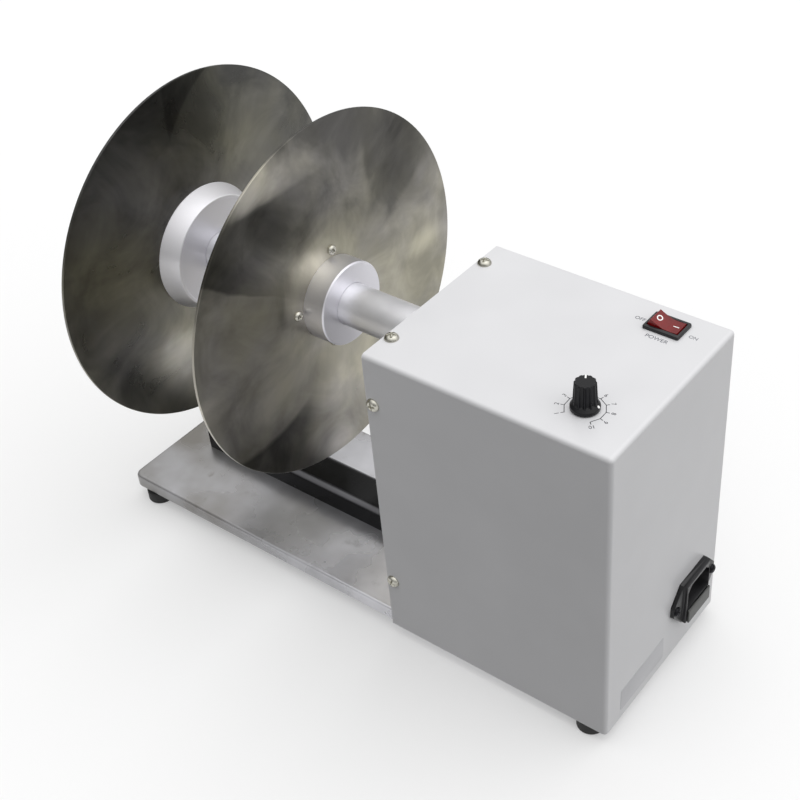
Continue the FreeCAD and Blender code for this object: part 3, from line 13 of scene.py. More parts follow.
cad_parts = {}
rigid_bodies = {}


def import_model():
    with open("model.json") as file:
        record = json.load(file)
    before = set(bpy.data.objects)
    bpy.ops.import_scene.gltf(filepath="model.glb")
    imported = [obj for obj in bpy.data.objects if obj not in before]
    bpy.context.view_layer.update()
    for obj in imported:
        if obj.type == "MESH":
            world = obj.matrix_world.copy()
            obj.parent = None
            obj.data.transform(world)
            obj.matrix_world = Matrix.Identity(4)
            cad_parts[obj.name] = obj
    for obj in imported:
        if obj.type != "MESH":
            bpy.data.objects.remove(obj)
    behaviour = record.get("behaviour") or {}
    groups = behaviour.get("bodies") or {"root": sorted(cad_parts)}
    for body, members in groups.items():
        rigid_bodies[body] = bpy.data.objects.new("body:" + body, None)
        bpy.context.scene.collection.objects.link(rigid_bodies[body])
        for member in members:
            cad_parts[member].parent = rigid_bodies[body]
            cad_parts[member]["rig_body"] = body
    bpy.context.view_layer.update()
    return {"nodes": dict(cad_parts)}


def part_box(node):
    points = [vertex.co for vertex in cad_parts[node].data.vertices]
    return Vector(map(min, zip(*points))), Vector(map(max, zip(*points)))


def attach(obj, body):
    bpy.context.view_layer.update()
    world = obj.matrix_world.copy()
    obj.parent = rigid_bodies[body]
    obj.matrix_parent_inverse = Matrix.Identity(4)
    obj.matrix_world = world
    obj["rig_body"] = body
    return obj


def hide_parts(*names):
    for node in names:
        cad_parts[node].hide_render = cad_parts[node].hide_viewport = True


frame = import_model()

MM = 0.001


def corners(node):
    """Lowest and highest corner of a CAD node at rest, in mm, to a hundredth."""
    return np.round(np.array([list(corner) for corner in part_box(node)]) / MM, 2)


def middle(node):
    """Middle of a CAD node's box, in mm."""
    return corners(node).mean(0)


# Places that the frame gives, in mm
(CASE_FACE, _, CASE_FLOOR), (CASE_END, CASE_HALF, CASE_ROOF) = corners("case_cover")
AXIS_Z = float(middle("spindle")[2])
INNER_DISC, DISC_RADIUS, _ = corners("inner_disc")[1]
OUTER_DISC = corners("outer_disc")[1, 0]
SWITCH = middle("switch_body")[:2]
KNOB = middle("speed_knob")[:2]
INLET = middle("inlet_body")[1:]

# Sizes that the boxes of the nodes don't tell, in mm; an opening is given by its two half sizes
DISC_SHEET, TRAY_SHEET, CASE_SHEET = 1.5, 1.5, 1.2
CASE_BEND, TRAY_BEND, TRAY_CORNER = 2.5, 2.0, 6.0
SPINDLE_RADIUS, COLLAR_RADIUS, HUB_NOSE_RADIUS = 12.5, 24.9, 34.6
DISC_SCREW_CIRCLE, DISC_SCREW_TURN = 29.3, 83.0
COVER_SCREW_INSET, COVER_SCREW_SIDE = 4.4, 40.7
COVER_SCREW_HIGH, COVER_SCREW_LOW = 169.2, 38.2
INLET_FLANGE, INLET_SCREW_HALF = 2.5, 20.0
SWITCH_OPENING, INLET_OPENING = (9.8, 6.6), (13.1, 13.7)
FOOT_RADIUS = 8.5


# Finishes

# Setting of a range that rises or falls smoothly
SOFT = {"interpolation_type": "SMOOTHSTEP"}


def srgb(text):
    """One channel is ((c + 0.055) / 1.055) ** 2.4, or c / 12.92 where c is dark."""
    value = np.array([int(text[i:i + 2], 16) for i in (1, 3, 5)]) / 255.0
    linear = np.where(value <= 0.04045, value / 12.92, ((value + 0.055) / 1.055) ** 2.4)
    return (*linear.tolist(), 1.0)


def add(tree, kind, *sources, out=0, **settings):
    """Adds a node and gives its output, or a list of outputs where out is a tuple of names.

    Kind may end in the operation of the node. Sources go into its sockets in order, settings into
    its properties or its named sockets: a socket is linked and a number set. Stops are the places
    and colours of a ramp, and size is the repeat of a pattern in mm, set as its scale, because
    coordinates are in metres.
    """
    kind, *operation = kind.split()
    node = tree.nodes.new("ShaderNode" + kind)
    if operation:
        node.operation = operation[0]
    inputs = dict(enumerate(sources))
    for key, value in settings.items():
        if key == "stops":
            elements = node.color_ramp.elements
            while len(elements) < len(value):
                elements.new(0.5)
            for element, (position, colour) in zip(elements, value):
                element.position, element.color = position, srgb(colour)
        elif key == "size":
            inputs["Scale"] = 1.0 / (value * MM)
        elif hasattr(node, key):
            setattr(node, key, value)
        else:
            inputs[key.replace("_", " ")] = value
    for key, value in inputs.items():
        if isinstance(value, bpy.types.NodeSocket):
            tree.links.new(value, node.inputs[key])
        else:
            node.inputs[key].default_value = value
    return [node.outputs[name] for name in out] if isinstance(out, tuple) else node.outputs[out]


def finish(name, colour, roughness, metallic=0.0, **sockets):
    """Starts a material: constants on the shader's own sockets, and the place on the object."""
    material = bpy.data.materials.new(name)
    material.use_nodes = True
    tree = material.node_tree
    shader = tree.nodes["Principled BSDF"]
    sockets.update(Base_Color=srgb(colour), Roughness=roughness, Metallic=metallic)
    for key, value in sockets.items():
        shader.inputs[key.replace("_", " ")].default_value = value
    material.diffuse_color = srgb(colour)
    return material, tree, shader, add(tree, "TexCoord", out="Object")


def dress(tree, shader, colour, roughness, relief, depth):
    """Links colour and roughness into a shader and raises its surface by depth mm where relief is 1."""
    tree.links.new(colour, shader.inputs["Base Color"])
    tree.links.new(roughness, shader.inputs["Roughness"])
    raised = add(tree, "Bump", Height=relief, Strength=1.0, Distance=depth * MM)
    tree.links.new(raised, shader.inputs["Normal"])


def mottled(name, tones, bright, roughness, swing, patch, grain, squeeze, depth, metallic=0.0, **sockets):
    """Material whose tone and shine drift in patches over a fine relief.

    Bright is where on the drift the lighter of its two tones is full, and swing the change of
    roughness at both ends. Patch and grain are sizes in mm with their detail, and squeeze scales
    the grain along X, Y and Z.
    """
    material, tree, shader, place = finish(name, tones[0], roughness, metallic, **sockets)
    drift = add(tree, "TexNoise", Vector=place, size=patch[0], Detail=patch[1], Roughness=0.55)
    way = add(tree, "Mapping", place, Scale=squeeze)
    fine = add(tree, "TexNoise", Vector=way, size=grain[0], Detail=grain[1], Roughness=0.55)
    dress(tree, shader, add(tree, "ValToRGB", drift, stops=((0.3, tones[0]), (bright, tones[1]))),
          add(tree, "MapRange", drift, 0.3, 0.7, roughness + swing[0], roughness + swing[1]), fine, depth)
    return material


def moulded(name, colour, light, roughness, grain=0.35, depth=0.012, **sockets):
    """Injection-moulded plastic: a spark-eroded grain softens its shine, and its tone drifts faintly."""
    return mottled(name, (colour, light), 0.75, roughness, (-0.05, 0.07), (9.0, 2.0), (grain, 2.0),
                   (1.0, 1.0, 1.0), depth, **sockets)


def plated(name, colour, light, roughness, patch=6.0, depth=0.006):
    """Plated or bare metal part: patches of tone and a fine uneven surface break its shine."""
    return mottled(name, (colour, light), 0.7, roughness, (-0.05, 0.1), (patch, 3.0), (0.5, 2.0),
                   (1.0, 1.0, 1.0), depth, 1.0)


def turned(name, colour, light, roughness, feed, depth, metallic=1.0):
    """Lathe-turned metal: rings left by the tool at each feed along the axis, and a faint tone."""
    return mottled(name, (colour, light), 0.7, roughness, (-0.04, 0.06), (14.0, 2.0), (feed, 1.0),
                   (1.0, 0.02, 0.02), depth, metallic)


def polar(tree, place):
    """Place seen along the spindle: its turn in degrees from +Y towards +Z, its distance from the
    axis as a share of the disc's radius, and the way there from the axis, along Y and Z."""
    way = add(tree, "VectorMath SUBTRACT", place, (0.0, 0.0, AXIS_Z * MM))
    way = add(tree, "VectorMath MULTIPLY", way, (0.0, 1.0, 1.0))
    across, height = add(tree, "SeparateXYZ", way, out=("Y", "Z"))
    turn = add(tree, "Math ARCTAN2", height, across)
    distance = add(tree, "VectorMath LENGTH", way, out="Value")
    return (add(tree, "Math MULTIPLY", turn, 180.0 / math.pi),
            add(tree, "Math DIVIDE", distance, DISC_RADIUS * MM), way)


def turned_hub():
    """Turned aluminium hub: its faces are left satin by the facing cut, and its tapered side, beyond
    a radius of 34 mm, is painted paler and less metallic, a painted sheen standing in for its bright
    reflection."""
    material, tree, shader, place = finish("turned_aluminium", "#E6E5EB", 0.38, 0.85)
    share = polar(tree, place)[1]
    side = add(tree, "MapRange", share, 33.7 / DISC_RADIUS, 34.2 / DISC_RADIUS, 0.0, 1.0, **SOFT)
    along = add(tree, "Mapping", place, Scale=(1.0, 0.02, 0.02))
    rings = add(tree, "TexNoise", Vector=along, size=0.25, Detail=1.0, Roughness=0.55)
    # Painted sheen: beyond 34 mm the side turns paler and less metallic than the faces.
    dress(tree, shader, add(tree, "ValToRGB", side, stops=((0.0, "#E6E5EB"), (1.0, "#F9F8FC"))),
          add(tree, "MapRange", side, 0.0, 1.0, 0.38, 0.3), rings, 0.006)
    tree.links.new(add(tree, "MapRange", side, 0.0, 1.0, 0.85, 0.4), shader.inputs["Metallic"])
    return material


def powder_coat():
    """Polyester powder coat on steel: smooth, half gloss, with the low waves called orange peel."""
    material, tree, shader, place = finish("powder_coat", "#D4D4D6", 0.3)
    tone = add(tree, "TexNoise", Vector=place, size=60.0, Detail=2.0, Roughness=0.55)
    peel = add(tree, "TexNoise", Vector=place, size=2.2, Detail=2.0, Roughness=0.5)
    dress(tree, shader, add(tree, "ValToRGB", tone, stops=((0.15, "#CFCFD1"), (0.85, "#D9D9DB"))),
          add(tree, "MapRange", tone, 0.15, 0.85, 0.26, 0.36), peel, 0.012)
    return material


def reflection_wedge(tree, turn, share, low, high, soft, reach, lean):
    """Soft-edged wedge, 1 inside.

    Its edges are at low and high, in degrees at the rim, fade by soft to both sides and turn by
    lean on the way to the axis. Reach holds the shares of the radius where it starts, is full,
    begins to fade and has gone.
    """
    inward = add(tree, "Math SUBTRACT", 1.0, share)
    part = add(tree, "MapRange", share, *reach[:2], 0.0, 1.0, **SOFT)
    fades = [add(tree, "MapRange", share, *reach[2:], 1.0, 0.0, **SOFT)]
    for edge, fade, slant, ends in zip((low, high), soft, lean, ((0.0, 1.0), (1.0, 0.0))):
        leaning = add(tree, "Math MULTIPLY_ADD", inward, slant, edge)
        off = add(tree, "Math SUBTRACT", turn, leaning)
        off = add(tree, "Math WRAP", off, 180.0, -180.0)
        fades.append(add(tree, "MapRange", off, -fade, fade, *ends, **SOFT))
    for fade in fades:
        part = add(tree, "Math MULTIPLY", part, fade)
    return part


def reflection_spot(tree, way, drift, y, z, size, cut):
    """Soft-edged ellipse, 1 inside: y and z are its middle from the axis and size its half axes, in mm.
    A cut names a direction and the two places between which the spot begins along it."""
    off = add(tree, "VectorMath SUBTRACT", way, (0.0, y * MM, z * MM))
    off = add(tree, "VectorMath DIVIDE", off, (1.0, size[0] * MM, size[1] * MM))
    gap = add(tree, "VectorMath LENGTH", off, out="Value")
    gap = add(tree, "Math ADD", gap, add(tree, "MapRange", drift, 0.3, 0.7, -0.25, 0.25))
    part = add(tree, "MapRange", gap, 0.1, 1.0, 1.0, 0.0, **SOFT)
    if cut:
        direction, start, end = cut
        begun = add(tree, "MapRange", add(tree, "SeparateXYZ", way, out=direction), start * MM, end * MM,
                    0.0, 1.0, **SOFT)
        part = add(tree, "Math MULTIPLY", part, begun)
    return part


def ground_stainless(name, tones, roughness, seed, reflection_wedges, spots):
    """Cold-rolled stainless disc, ground on a turntable.

    Its tone is a factor from 0, dark, to 1, light: clouds of 42 mm, faint streaks 9 degrees wide that
    run outwards, a fall towards the top, a pale ring round the hub that is a painted reflection of the
    hub, and single wedges and spots of painted reflection, darker or lighter, each times its amount. A
    tint in patches of 70 mm is a trace of yellow or violet. Fine circular lines are raised from the surface.
    """
    material, tree, shader, place = finish(name, tones[1][1], 0.3, 1.0)
    shifted = add(tree, "Mapping", place, Location=(seed, seed * 0.7, seed * 1.3))
    turn, share, way = polar(tree, place)
    drift = add(tree, "TexNoise", Vector=shifted, size=45.0, Detail=3.0, Roughness=0.5)
    turn = add(tree, "Math ADD", turn, add(tree, "MapRange", drift, 0.3, 0.7, -1.5, 1.5))
    share = add(tree, "Math ADD", share, add(tree, "MapRange", drift, 0.3, 0.7, 0.03, -0.03))
    blot = add(tree, "TexNoise", Vector=shifted, size=42.0, Detail=4.0, Roughness=0.58, Distortion=0.6)
    ray = add(tree, "Mapping", add(tree, "CombineXYZ", turn, share), Scale=(1.0 / 9.0, 3.0, 1.0))
    streak = add(tree, "TexNoise", Vector=ray, Scale=1.0, Detail=3.0, Roughness=0.6)
    low, high = -0.2 * DISC_RADIUS * MM, 0.9 * DISC_RADIUS * MM
    # The last of these parts is the pale ring round the hub, a painted reflection of the hub.
    parts = [(add(tree, "MapRange", streak, 0.3, 0.7, -0.025, 0.025), 1.0),
             (add(tree, "MapRange", add(tree, "SeparateXYZ", way, out="Z"), low, high, 0.08, -0.28), 1.0),
             (add(tree, "MapRange", share, 0.24, 0.46, 1.0, 0.0, **SOFT), 0.08)]
    # Painted reflections: wedges and spots that make the disc lighter or darker.
    parts += [(reflection_wedge(tree, turn, share, *shape), amount) for *shape, amount in reflection_wedges]
    parts += [(reflection_spot(tree, way, drift, y, z, size, cut), amount) for y, z, size, amount, cut in spots]
    total = add(tree, "MapRange", blot, 0.3, 0.7, 0.38, 0.64)
    for part, amount in parts:
        total = add(tree, "Math MULTIPLY_ADD", part, amount, total)
    patch = add(tree, "TexNoise", Vector=shifted, size=70.0, Detail=3.0, Roughness=0.6)
    tint = add(tree, "ValToRGB", patch, stops=((0.35, "#FDFBF0"), (0.65, "#F6F5FD")))
    shade = add(tree, "VectorMath MULTIPLY", add(tree, "ValToRGB", total, stops=tones), tint)
    line = add(tree, "Math MULTIPLY", share, DISC_RADIUS / 0.35)
    lines = add(tree, "TexNoise", W=line, noise_dimensions="1D", Scale=1.0, Detail=1.0)
    dress(tree, shader, shade, add(tree, "MapRange", blot, 0.3, 0.7, roughness - 0.05, roughness + 0.07),
          lines, 0.004)
    return material


def satin_stainless():
    """Stainless sheet with a cloudy satin face: wiped, stained here and there, and darker towards the
    open end. Its grain along X, of 0.6 mm, is coarser than the real one, so that it shows."""
    material, tree, shader, place = finish("satin_stainless_sheet", "#B4B4B8", 0.24, 0.7)
    blot = add(tree, "TexNoise", Vector=place, size=40.0, Detail=3.0, Roughness=0.5)
    spots = add(tree, "TexNoise", Vector=place, size=17.0, Detail=4.0, Roughness=0.6)
    stain = add(tree, "MapRange", spots, 0.6, 0.8, 0.0, 1.0, **SOFT)
    ends = add(tree, "MapRange", add(tree, "SeparateXYZ", place, out="X"), -0.19, 0.03, 0.05, 0.85)
    total = add(tree, "Math ADD", add(tree, "MapRange", blot, 0.3, 0.7, -0.2, 0.2), ends)
    total = add(tree, "Math MULTIPLY_ADD", stain, -0.3, total)
    along = add(tree, "Mapping", place, Scale=(0.03, 1.0, 1.0))
    grain = add(tree, "TexNoise", Vector=along, size=0.6, Detail=2.0, Roughness=0.55)
    dress(tree, shader,
          add(tree, "ValToRGB", total, stops=((0.0, "#827F7A"), (0.45, "#B4B4B7"), (1.0, "#EAEAEF"))),
          add(tree, "MapRange", blot, 0.3, 0.7, 0.24, 0.32), grain, 0.001)
    return material


def stove_enamel():
    """Black stove enamel, baked on the bar, with a painted highlight of grey along both rounded top edges."""
    material, tree, shader, place = finish("black_stove_enamel", "#050506", 0.2, Specular_IOR_Level=0.16)
    (_, near, _), (_, far, top) = corners("base_bar")
    inset = 1.3
    heart = (0.0, (near + far) / 2 * MM, (top - inset) * MM)
    off = add(tree, "VectorMath SUBTRACT", place, heart)
    off = add(tree, "VectorMath ABSOLUTE", off)
    off = add(tree, "VectorMath SUBTRACT", off, (0.0, ((far - near) / 2 - inset) * MM, 0.0))
    off = add(tree, "VectorMath MULTIPLY", off, (0.0, 1.0, 1.0))
    gap = add(tree, "VectorMath LENGTH", off, out="Value")
    # Painted highlight: the base colour turns grey near both rounded top edges, where they catch the light.
    painted_edge_highlight = add(tree, "MapRange", gap, 0.6 * MM, 3.4 * MM, 1.0, 0.0, **SOFT)
    tone = add(tree, "TexNoise", Vector=place, size=12.0, Detail=3.0, Roughness=0.55)
    fine = add(tree, "TexNoise", Vector=place, size=0.5, Detail=2.0, Roughness=0.55)
    dress(tree, shader,
          add(tree, "ValToRGB", painted_edge_highlight, stops=((0.0, "#060607"), (0.5, "#333335"), (1.0, "#7C7C7F"))),
          add(tree, "MapRange", tone, 0.3, 0.7, 0.15, 0.3), fine, 0.004)
    return material


def circuit_laminate():
    """Glass-epoxy laminate under green solder mask, with pale tracks under the mask."""
    material, tree, shader, place = finish("epoxy_laminate", "#1F6B3C", 0.35)
    tracks = add(tree, "TexVoronoi", Vector=place, feature="DISTANCE_TO_EDGE", size=5.0, out="Distance")
    mask = add(tree, "ValToRGB", tracks, stops=((0.0, "#3E8F5B"), (0.1, "#3A8A56"), (0.16, "#1F6B3C")))
    tree.links.new(mask, shader.inputs["Base Color"])
    return material


# Tones of the discs from dark to light. The wedges and spots are painted reflections, darker or lighter: a
# wedge is (low, high, soft, reach, lean, amount) and a spot is (y, z, half axes, amount, cut), as the
# functions that draw them take them.
OUTER_TONES = ((0.0, "#323230"), (0.25, "#4F4F4B"), (0.5, "#77766E"), (0.75, "#9A988E"), (1.0, "#C6C4BA"))
OUTER_REFLECTION_WEDGES = (
    (78.0, 96.0, (1.0, 0.6), (0.66, 0.78, 1.2, 1.3), (73.0, 12.0), -0.13),
    (58.0, 78.0, (9.0, 3.0), (0.5, 0.75, 1.2, 1.3), (0.0, 73.0), 0.06),
    (189.0, 219.0, (1.5, 9.0), (0.42, 0.6, 1.2, 1.3), (0.0, 0.0), -0.06),
    (220.0, 244.0, (7.0, 6.0), (0.42, 0.55, 0.7, 0.85), (0.0, 0.0), 0.12),
)
OUTER_REFLECTION_SPOTS = (
    (40.0, 50.0, (52.0, 20.0), 0.07, None), (-30.0, -58.0, (34.0, 26.0), 0.26, None),
    (-70.0, 40.0, (50.0, 40.0), 0.05, None), (-92.0, -22.0, (30.0, 20.0), 0.08, ("Z", -38.0, -32.0)),
)
INNER_TONES = ((0.0, "#3A3936"), (0.25, "#5C5B56"), (0.5, "#8E8C84"), (0.75, "#BCB9AE"), (1.0, "#ECE9DC"))
INNER_REFLECTION_WEDGES = (
    (128.0, 147.0, (3.0, 0.8), (0.46, 0.85, 1.2, 1.3), (-60.0, 6.0), -0.15),
    (147.0, 205.0, (0.8, 14.0), (0.3, 0.6, 1.2, 1.3), (6.0, 0.0), 0.1),
    (215.0, 247.0, (2.0, 7.0), (0.5, 0.75, 1.2, 1.3), (60.0, 0.0), -0.3),
    (0.0, 26.0, (6.0, 2.0), (0.5, 0.7, 1.2, 1.3), (0.0, 0.0), 0.06),
)
INNER_REFLECTION_SPOTS = (
    (-38.0, 91.0, (44.0, 22.0), 0.42, ("Z", 79.0, 83.0)),
    (60.0, 62.0, (36.0, 44.0), -0.24, ("Y", 35.0, 41.0)),
    (-10.0, 30.0, (24.0, 18.0), 0.24, None), (2.0, -62.0, (40.0, 38.0), 0.16, None),
    (84.0, -8.0, (30.0, 12.0), 0.2, None), (-10.0, -101.0, (26.0, 16.0), 0.16, None),
)

# Sheet, turned and painted parts of the outside
COAT = powder_coat()
OUTER_STEEL = ground_stainless("ground_stainless_outer", OUTER_TONES, 0.3, 3.1, OUTER_REFLECTION_WEDGES, OUTER_REFLECTION_SPOTS)
INNER_STEEL = ground_stainless("ground_stainless_inner", INNER_TONES, 0.32, 7.4, INNER_REFLECTION_WEDGES, INNER_REFLECTION_SPOTS)
TRAY_STEEL = satin_stainless()
HUB_ALUMINIUM = turned_hub()
SPINDLE_STEEL = turned("ground_spindle_steel", "#ECECF0", "#F2F2F5", 0.36, 0.3, 0.004, 0.7)
BAR_PAINT = stove_enamel()

# Fasteners, bearing, gears and other metal
SCREW_NICKEL = plated("nickel_plated_steel", "#A9A79D", "#C9C7BD", 0.22, 2.0)
BLACK_OXIDE = plated("black_oxide_steel", "#1B1B1D", "#2B2B2E", 0.28, 2.0)
ZINC = plated("zinc_plated_steel", "#A8ABAE", "#C2C5C7", 0.32, 4.0)
BEARING_STEEL = plated("bearing_steel", "#A9AAAD", "#BBBCBE", 0.18, 8.0, 0.003)
GEAR_STEEL = plated("hobbed_gear_steel", "#6D6F73", "#8A8C8F", 0.36, 6.0, 0.01)
BRONZE = turned("sintered_bronze", "#A8763E", "#BC8A4F", 0.4, 0.3, 0.01)
MOTOR_STEEL = plated("zinc_plated_motor_can", "#9A9CA0", "#B2B4B6", 0.3, 10.0)
NICKEL_BRASS = plated("nickel_plated_brass", "#B9B6A9", "#CFCCC0", 0.2, 3.0, 0.003)
SUPPLY_SHEET = plated("galvanised_sheet", "#9DA1A4", "#BFC3C5", 0.38, 7.0)
SINK_ALUMINIUM = plated("black_anodised_aluminium", "#1A1B1E", "#26272B", 0.4, 8.0)

# Rubber, plastics, glass, laminate and ink
RUBBER = moulded("nitrile_rubber", "#141414", "#1E1E1E", 0.62, 0.5, 0.03)
BLACK_ABS = moulded("black_abs", "#101012", "#18181B", 0.34)
KNOB_ABS = moulded("black_knob_abs", "#07070B", "#0D0D12", 0.3, 0.3, 0.008, Specular_IOR_Level=0.3)
GREY_NYLON = moulded("grey_nylon", "#4A4B4A", "#585957", 0.48, 0.5, 0.02)
TERMINAL_NYLON = moulded("terminal_polyamide", "#2A6E45", "#358052", 0.45)
SLEEVE_PVC = moulded("capacitor_sleeve_pvc", "#1B2440", "#24305A", 0.3)
LAMINATE = circuit_laminate()
RED_CARBONATE = moulded("red_polycarbonate", "#6C0407", "#84080B", 0.2, 0.4, 0.004,
                        Transmission_Weight=0.15, IOR=1.58, Specular_IOR_Level=0.3)
GLASS = moulded("fuse_glass", "#DDE6E2", "#EAF2EE", 0.06, 0.8, 0.001, Transmission_Weight=0.9)
WHITE_INK = moulded("white_pad_print", "#F2F2F0", "#FAFAF8", 0.5, 0.3, 0.006)
DARK_INK = moulded("dark_screen_print", "#1E1F26", "#2A2B32", 0.5, 0.3, 0.006)
FAINT_INK = moulded("grey_screen_print", "#4A4C56", "#565862", 0.5, 0.3, 0.006)
LABEL_FILM = moulded("polyester_label_film", "#C2C2C5", "#C8C8CB", 0.34, 1.2, 0.006)

# Finish of each material slot of the CAD
CAD_FINISH = {
    "stainless_tray": TRAY_STEEL, "stainless_disc": INNER_STEEL, "powder_coat_white": COAT,
    "bar_black": BAR_PAINT, "satin_aluminium": HUB_ALUMINIUM, "spindle_steel": SPINDLE_STEEL,
    "foot_rubber": RUBBER, "zinc_steel": ZINC, "black_oxide_steel": BLACK_OXIDE,
    "bearing_steel": BEARING_STEEL, "gear_steel": GEAR_STEEL, "bronze": BRONZE,
    "motor_zinc": MOTOR_STEEL, "black_plastic": BLACK_ABS, "grey_plastic": GREY_NYLON,
    "rocker_red": RED_CARBONATE, "nickel_brass": NICKEL_BRASS, "fuse_glass": GLASS,
    "supply_sheet": SUPPLY_SHEET, "terminal_plastic": TERMINAL_NYLON, "circuit_board": LAMINATE,
    "sink_aluminium": SINK_ALUMINIUM, "capacitor_sleeve": SLEEVE_PVC,
}


# Surfaces

def quads(rows, columns, ring=True, loop=False):
    """Four-cornered faces between neighbours of a rows x columns grid of points.

    Ring closes the columns and loop the rows.
    """
    row = np.arange(rows if loop else rows - 1)[:, None]
    column = np.arange(columns if ring else columns - 1)[None, :]
    start, beside, below = row * columns, (column + 1) % columns, (row + 1) % rows * columns
    faces = [start + column, start + beside, below + beside, below + column]
    return np.stack(faces, -1).reshape(-1, 4)


def shown(name, mesh, material):
    """Puts a mesh with its one material into the scene."""
    mesh.materials.clear()
    mesh.materials.append(material)
    thing = bpy.data.objects.new(name, mesh)
    bpy.context.scene.collection.objects.link(thing)
    return thing


def smoothed(mesh, seam, crease):
    """Joins points nearer than seam mm and shades smoothly, but for edges sharper than crease degrees."""
    shape = bmesh.new()
    shape.from_mesh(mesh)
    bmesh.ops.remove_doubles(shape, verts=shape.verts, dist=seam * MM)
    bmesh.ops.dissolve_degenerate(shape, edges=shape.edges, dist=1e-7)
    shape.to_mesh(mesh)
    shape.free()
    mesh.shade_smooth()
    mesh.set_sharp_from_angle(angle=math.radians(crease))


def sharpen_rims(mesh):
    """Marks the open edges of a sheet as sharp, so that its faces stay flat where a wall is laid inside."""
    used = np.zeros(len(mesh.loops), np.int32)
    mesh.loops.foreach_get("edge_index", used)
    sharp = np.zeros(len(mesh.edges), bool)
    mesh.edges.foreach_get("use_edge_sharp", sharp)
    mesh.edges.foreach_set("use_edge_sharp", sharp | (np.bincount(used, minlength=len(mesh.edges)) == 1))


def piece(name, points, faces, body, material, slot=None, replaced=(), caps=(), crease=35.0):
    """Makes an object of points in mm and faces, closes its seams and poles and lets it ride on a body."""
    mesh = bpy.data.meshes.new(name)
    mesh.from_pydata((np.asarray(points, float).reshape(-1, 3) * MM).tolist(), [],
                     np.asarray(faces).tolist() + [list(cap) for cap in caps])
    smoothed(mesh, 0.002, crease)
    sharpen_rims(mesh)
    thing = shown(name, mesh, material)
    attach(thing, body)
    if replaced:
        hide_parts(*replaced)
    return thing


def swept(name, loops, body, material, slot=None, replaced=(), flip=False, crease=35.0):
    """A closed form from loops of points, with a face on its first and last loop; flip turns every face."""
    rows, columns = loops.shape[:2]
    faces = quads(rows, columns)
    caps = [np.arange(columns)[::-1], (rows - 1) * columns + np.arange(columns)]
    if flip:
        faces, caps = faces[:, ::-1], [cap[::-1] for cap in caps]
    piece(name, loops, faces, body, material, slot, replaced, caps, crease)


def alike(forms):
    """Points and faces of several closed grids of one size, for one object."""
    rows, columns = forms[0].shape[:2]
    faces = [quads(rows, columns) + i * rows * columns for i in range(len(forms))]
    return np.concatenate([form.reshape(-1, 3) for form in forms]), np.concatenate(faces)


def lay_wall(thing, thickness):
    """Gives a sheet its thickness in mm, laid inside."""
    wall = thing.modifiers.new("sheet", "SOLIDIFY")
    wall.thickness, wall.offset = thickness * MM, -1.0


def around(count):
    """Evenly spaced directions round a circle, as (cosine, sine)."""
    t = np.linspace(0, 2 * math.pi, count, endpoint=False)
    return np.stack([np.cos(t), np.sin(t)], -1)


def rounded(path, radii, steps, closed=False, ease=0.15):
    """Profile through the corners of a path, each turned into an arc of its radius.

    With unit vectors u and v from a corner to its neighbours and half the angle between them h,
    the arc touches both sides at r / tan(h) and its centre lies r / sin(h) along u + v. Between the
    two touching points the radius vector turns evenly. One more point, ease mm before and after
    each arc, keeps the flat next to it flat.
    """
    at = np.asarray(path, float)
    radius = np.broadcast_to(np.asarray(radii, float), len(at)).copy()
    before, after = np.roll(at, 1, 0), np.roll(at, -1, 0)
    if not closed:
        radius[[0, -1]] = 0.0
        before[0], after[-1] = at[0] + (1, 0), at[-1] + (0, 1)
    unit = lambda v: v / np.maximum(np.linalg.norm(v, axis=1, keepdims=True), 1e-9)
    u, v = unit(before - at), unit(after - at)
    half = np.arccos(np.clip((u * v).sum(1), -1, 1)) / 2
    radius = np.where((half < 0.02) | (half > math.pi / 2 - 0.01), 0.0, radius)
    touch = (radius / np.maximum(np.tan(half), 1e-6))[:, None]
    centre = at + unit(u + v) * (radius / np.maximum(np.sin(half), 1e-6))[:, None]
    a, b = (at + u * touch - centre)[:, None], (at + v * touch - centre)[:, None]
    sweep = np.maximum(math.pi - 2 * half, 1e-6)[:, None, None]
    t = np.linspace(0, 1, steps)[None, :, None]
    arc = centre[:, None] + (np.sin((1 - t) * sweep) * a + np.sin(t * sweep) * b) / np.sin(sweep)
    margin = np.where(radius > 0, ease, 0.0)[:, None]
    arc = np.concatenate([(at + u * (touch + margin))[:, None], arc, (at + v * (touch + margin))[:, None]], 1)
    flat = np.where((radius == 0)[:, None, None], at[:, None], arc).reshape(-1, 2)
    keep = np.ones(len(flat), bool)
    keep[1:] = np.linalg.norm(np.diff(flat, axis=0), axis=1) > 1e-5
    return flat[keep]


BASES = {"+x": ((1, 0, 0), (0, 1, 0), (0, 0, 1)), "-x": ((-1, 0, 0), (0, -1, 0), (0, 0, 1)),
         "+y": ((0, 1, 0), (0, 0, 1), (1, 0, 0)), "-y": ((0, -1, 0), (0, 0, 1), (-1, 0, 0)),
         "+z": ((0, 0, 1), (1, 0, 0), (0, 1, 0))}


def facing(local, seat, way):
    """Puts points of (along, across, up) on a seat so that their first axis faces the given way."""
    return np.asarray(local) @ np.array(BASES[way], float) + np.array(seat, float)


def lathe(profile, turns):
    """Turned form: each profile point (a, r) goes round as (a, r cos t, r sin t)."""
    way = around(turns)
    a, r = profile[:, :1], profile[:, 1:]
    return np.stack([np.broadcast_to(a, (len(a), turns)), r * way[:, 0], r * way[:, 1]], -1)


def turned_piece(name, profile, x, way, body, material, slot, node, turns=96, loop=True):
    """One lathe form round the spindle's axis, seated at x; its profile closes as a loop round a bore, or
    starts and ends on the axis."""
    points = facing(lathe(profile, turns), (x, 0.0, AXIS_Z), way)
    piece(name, points, quads(len(profile), turns, True, loop), body, material, slot, [node])


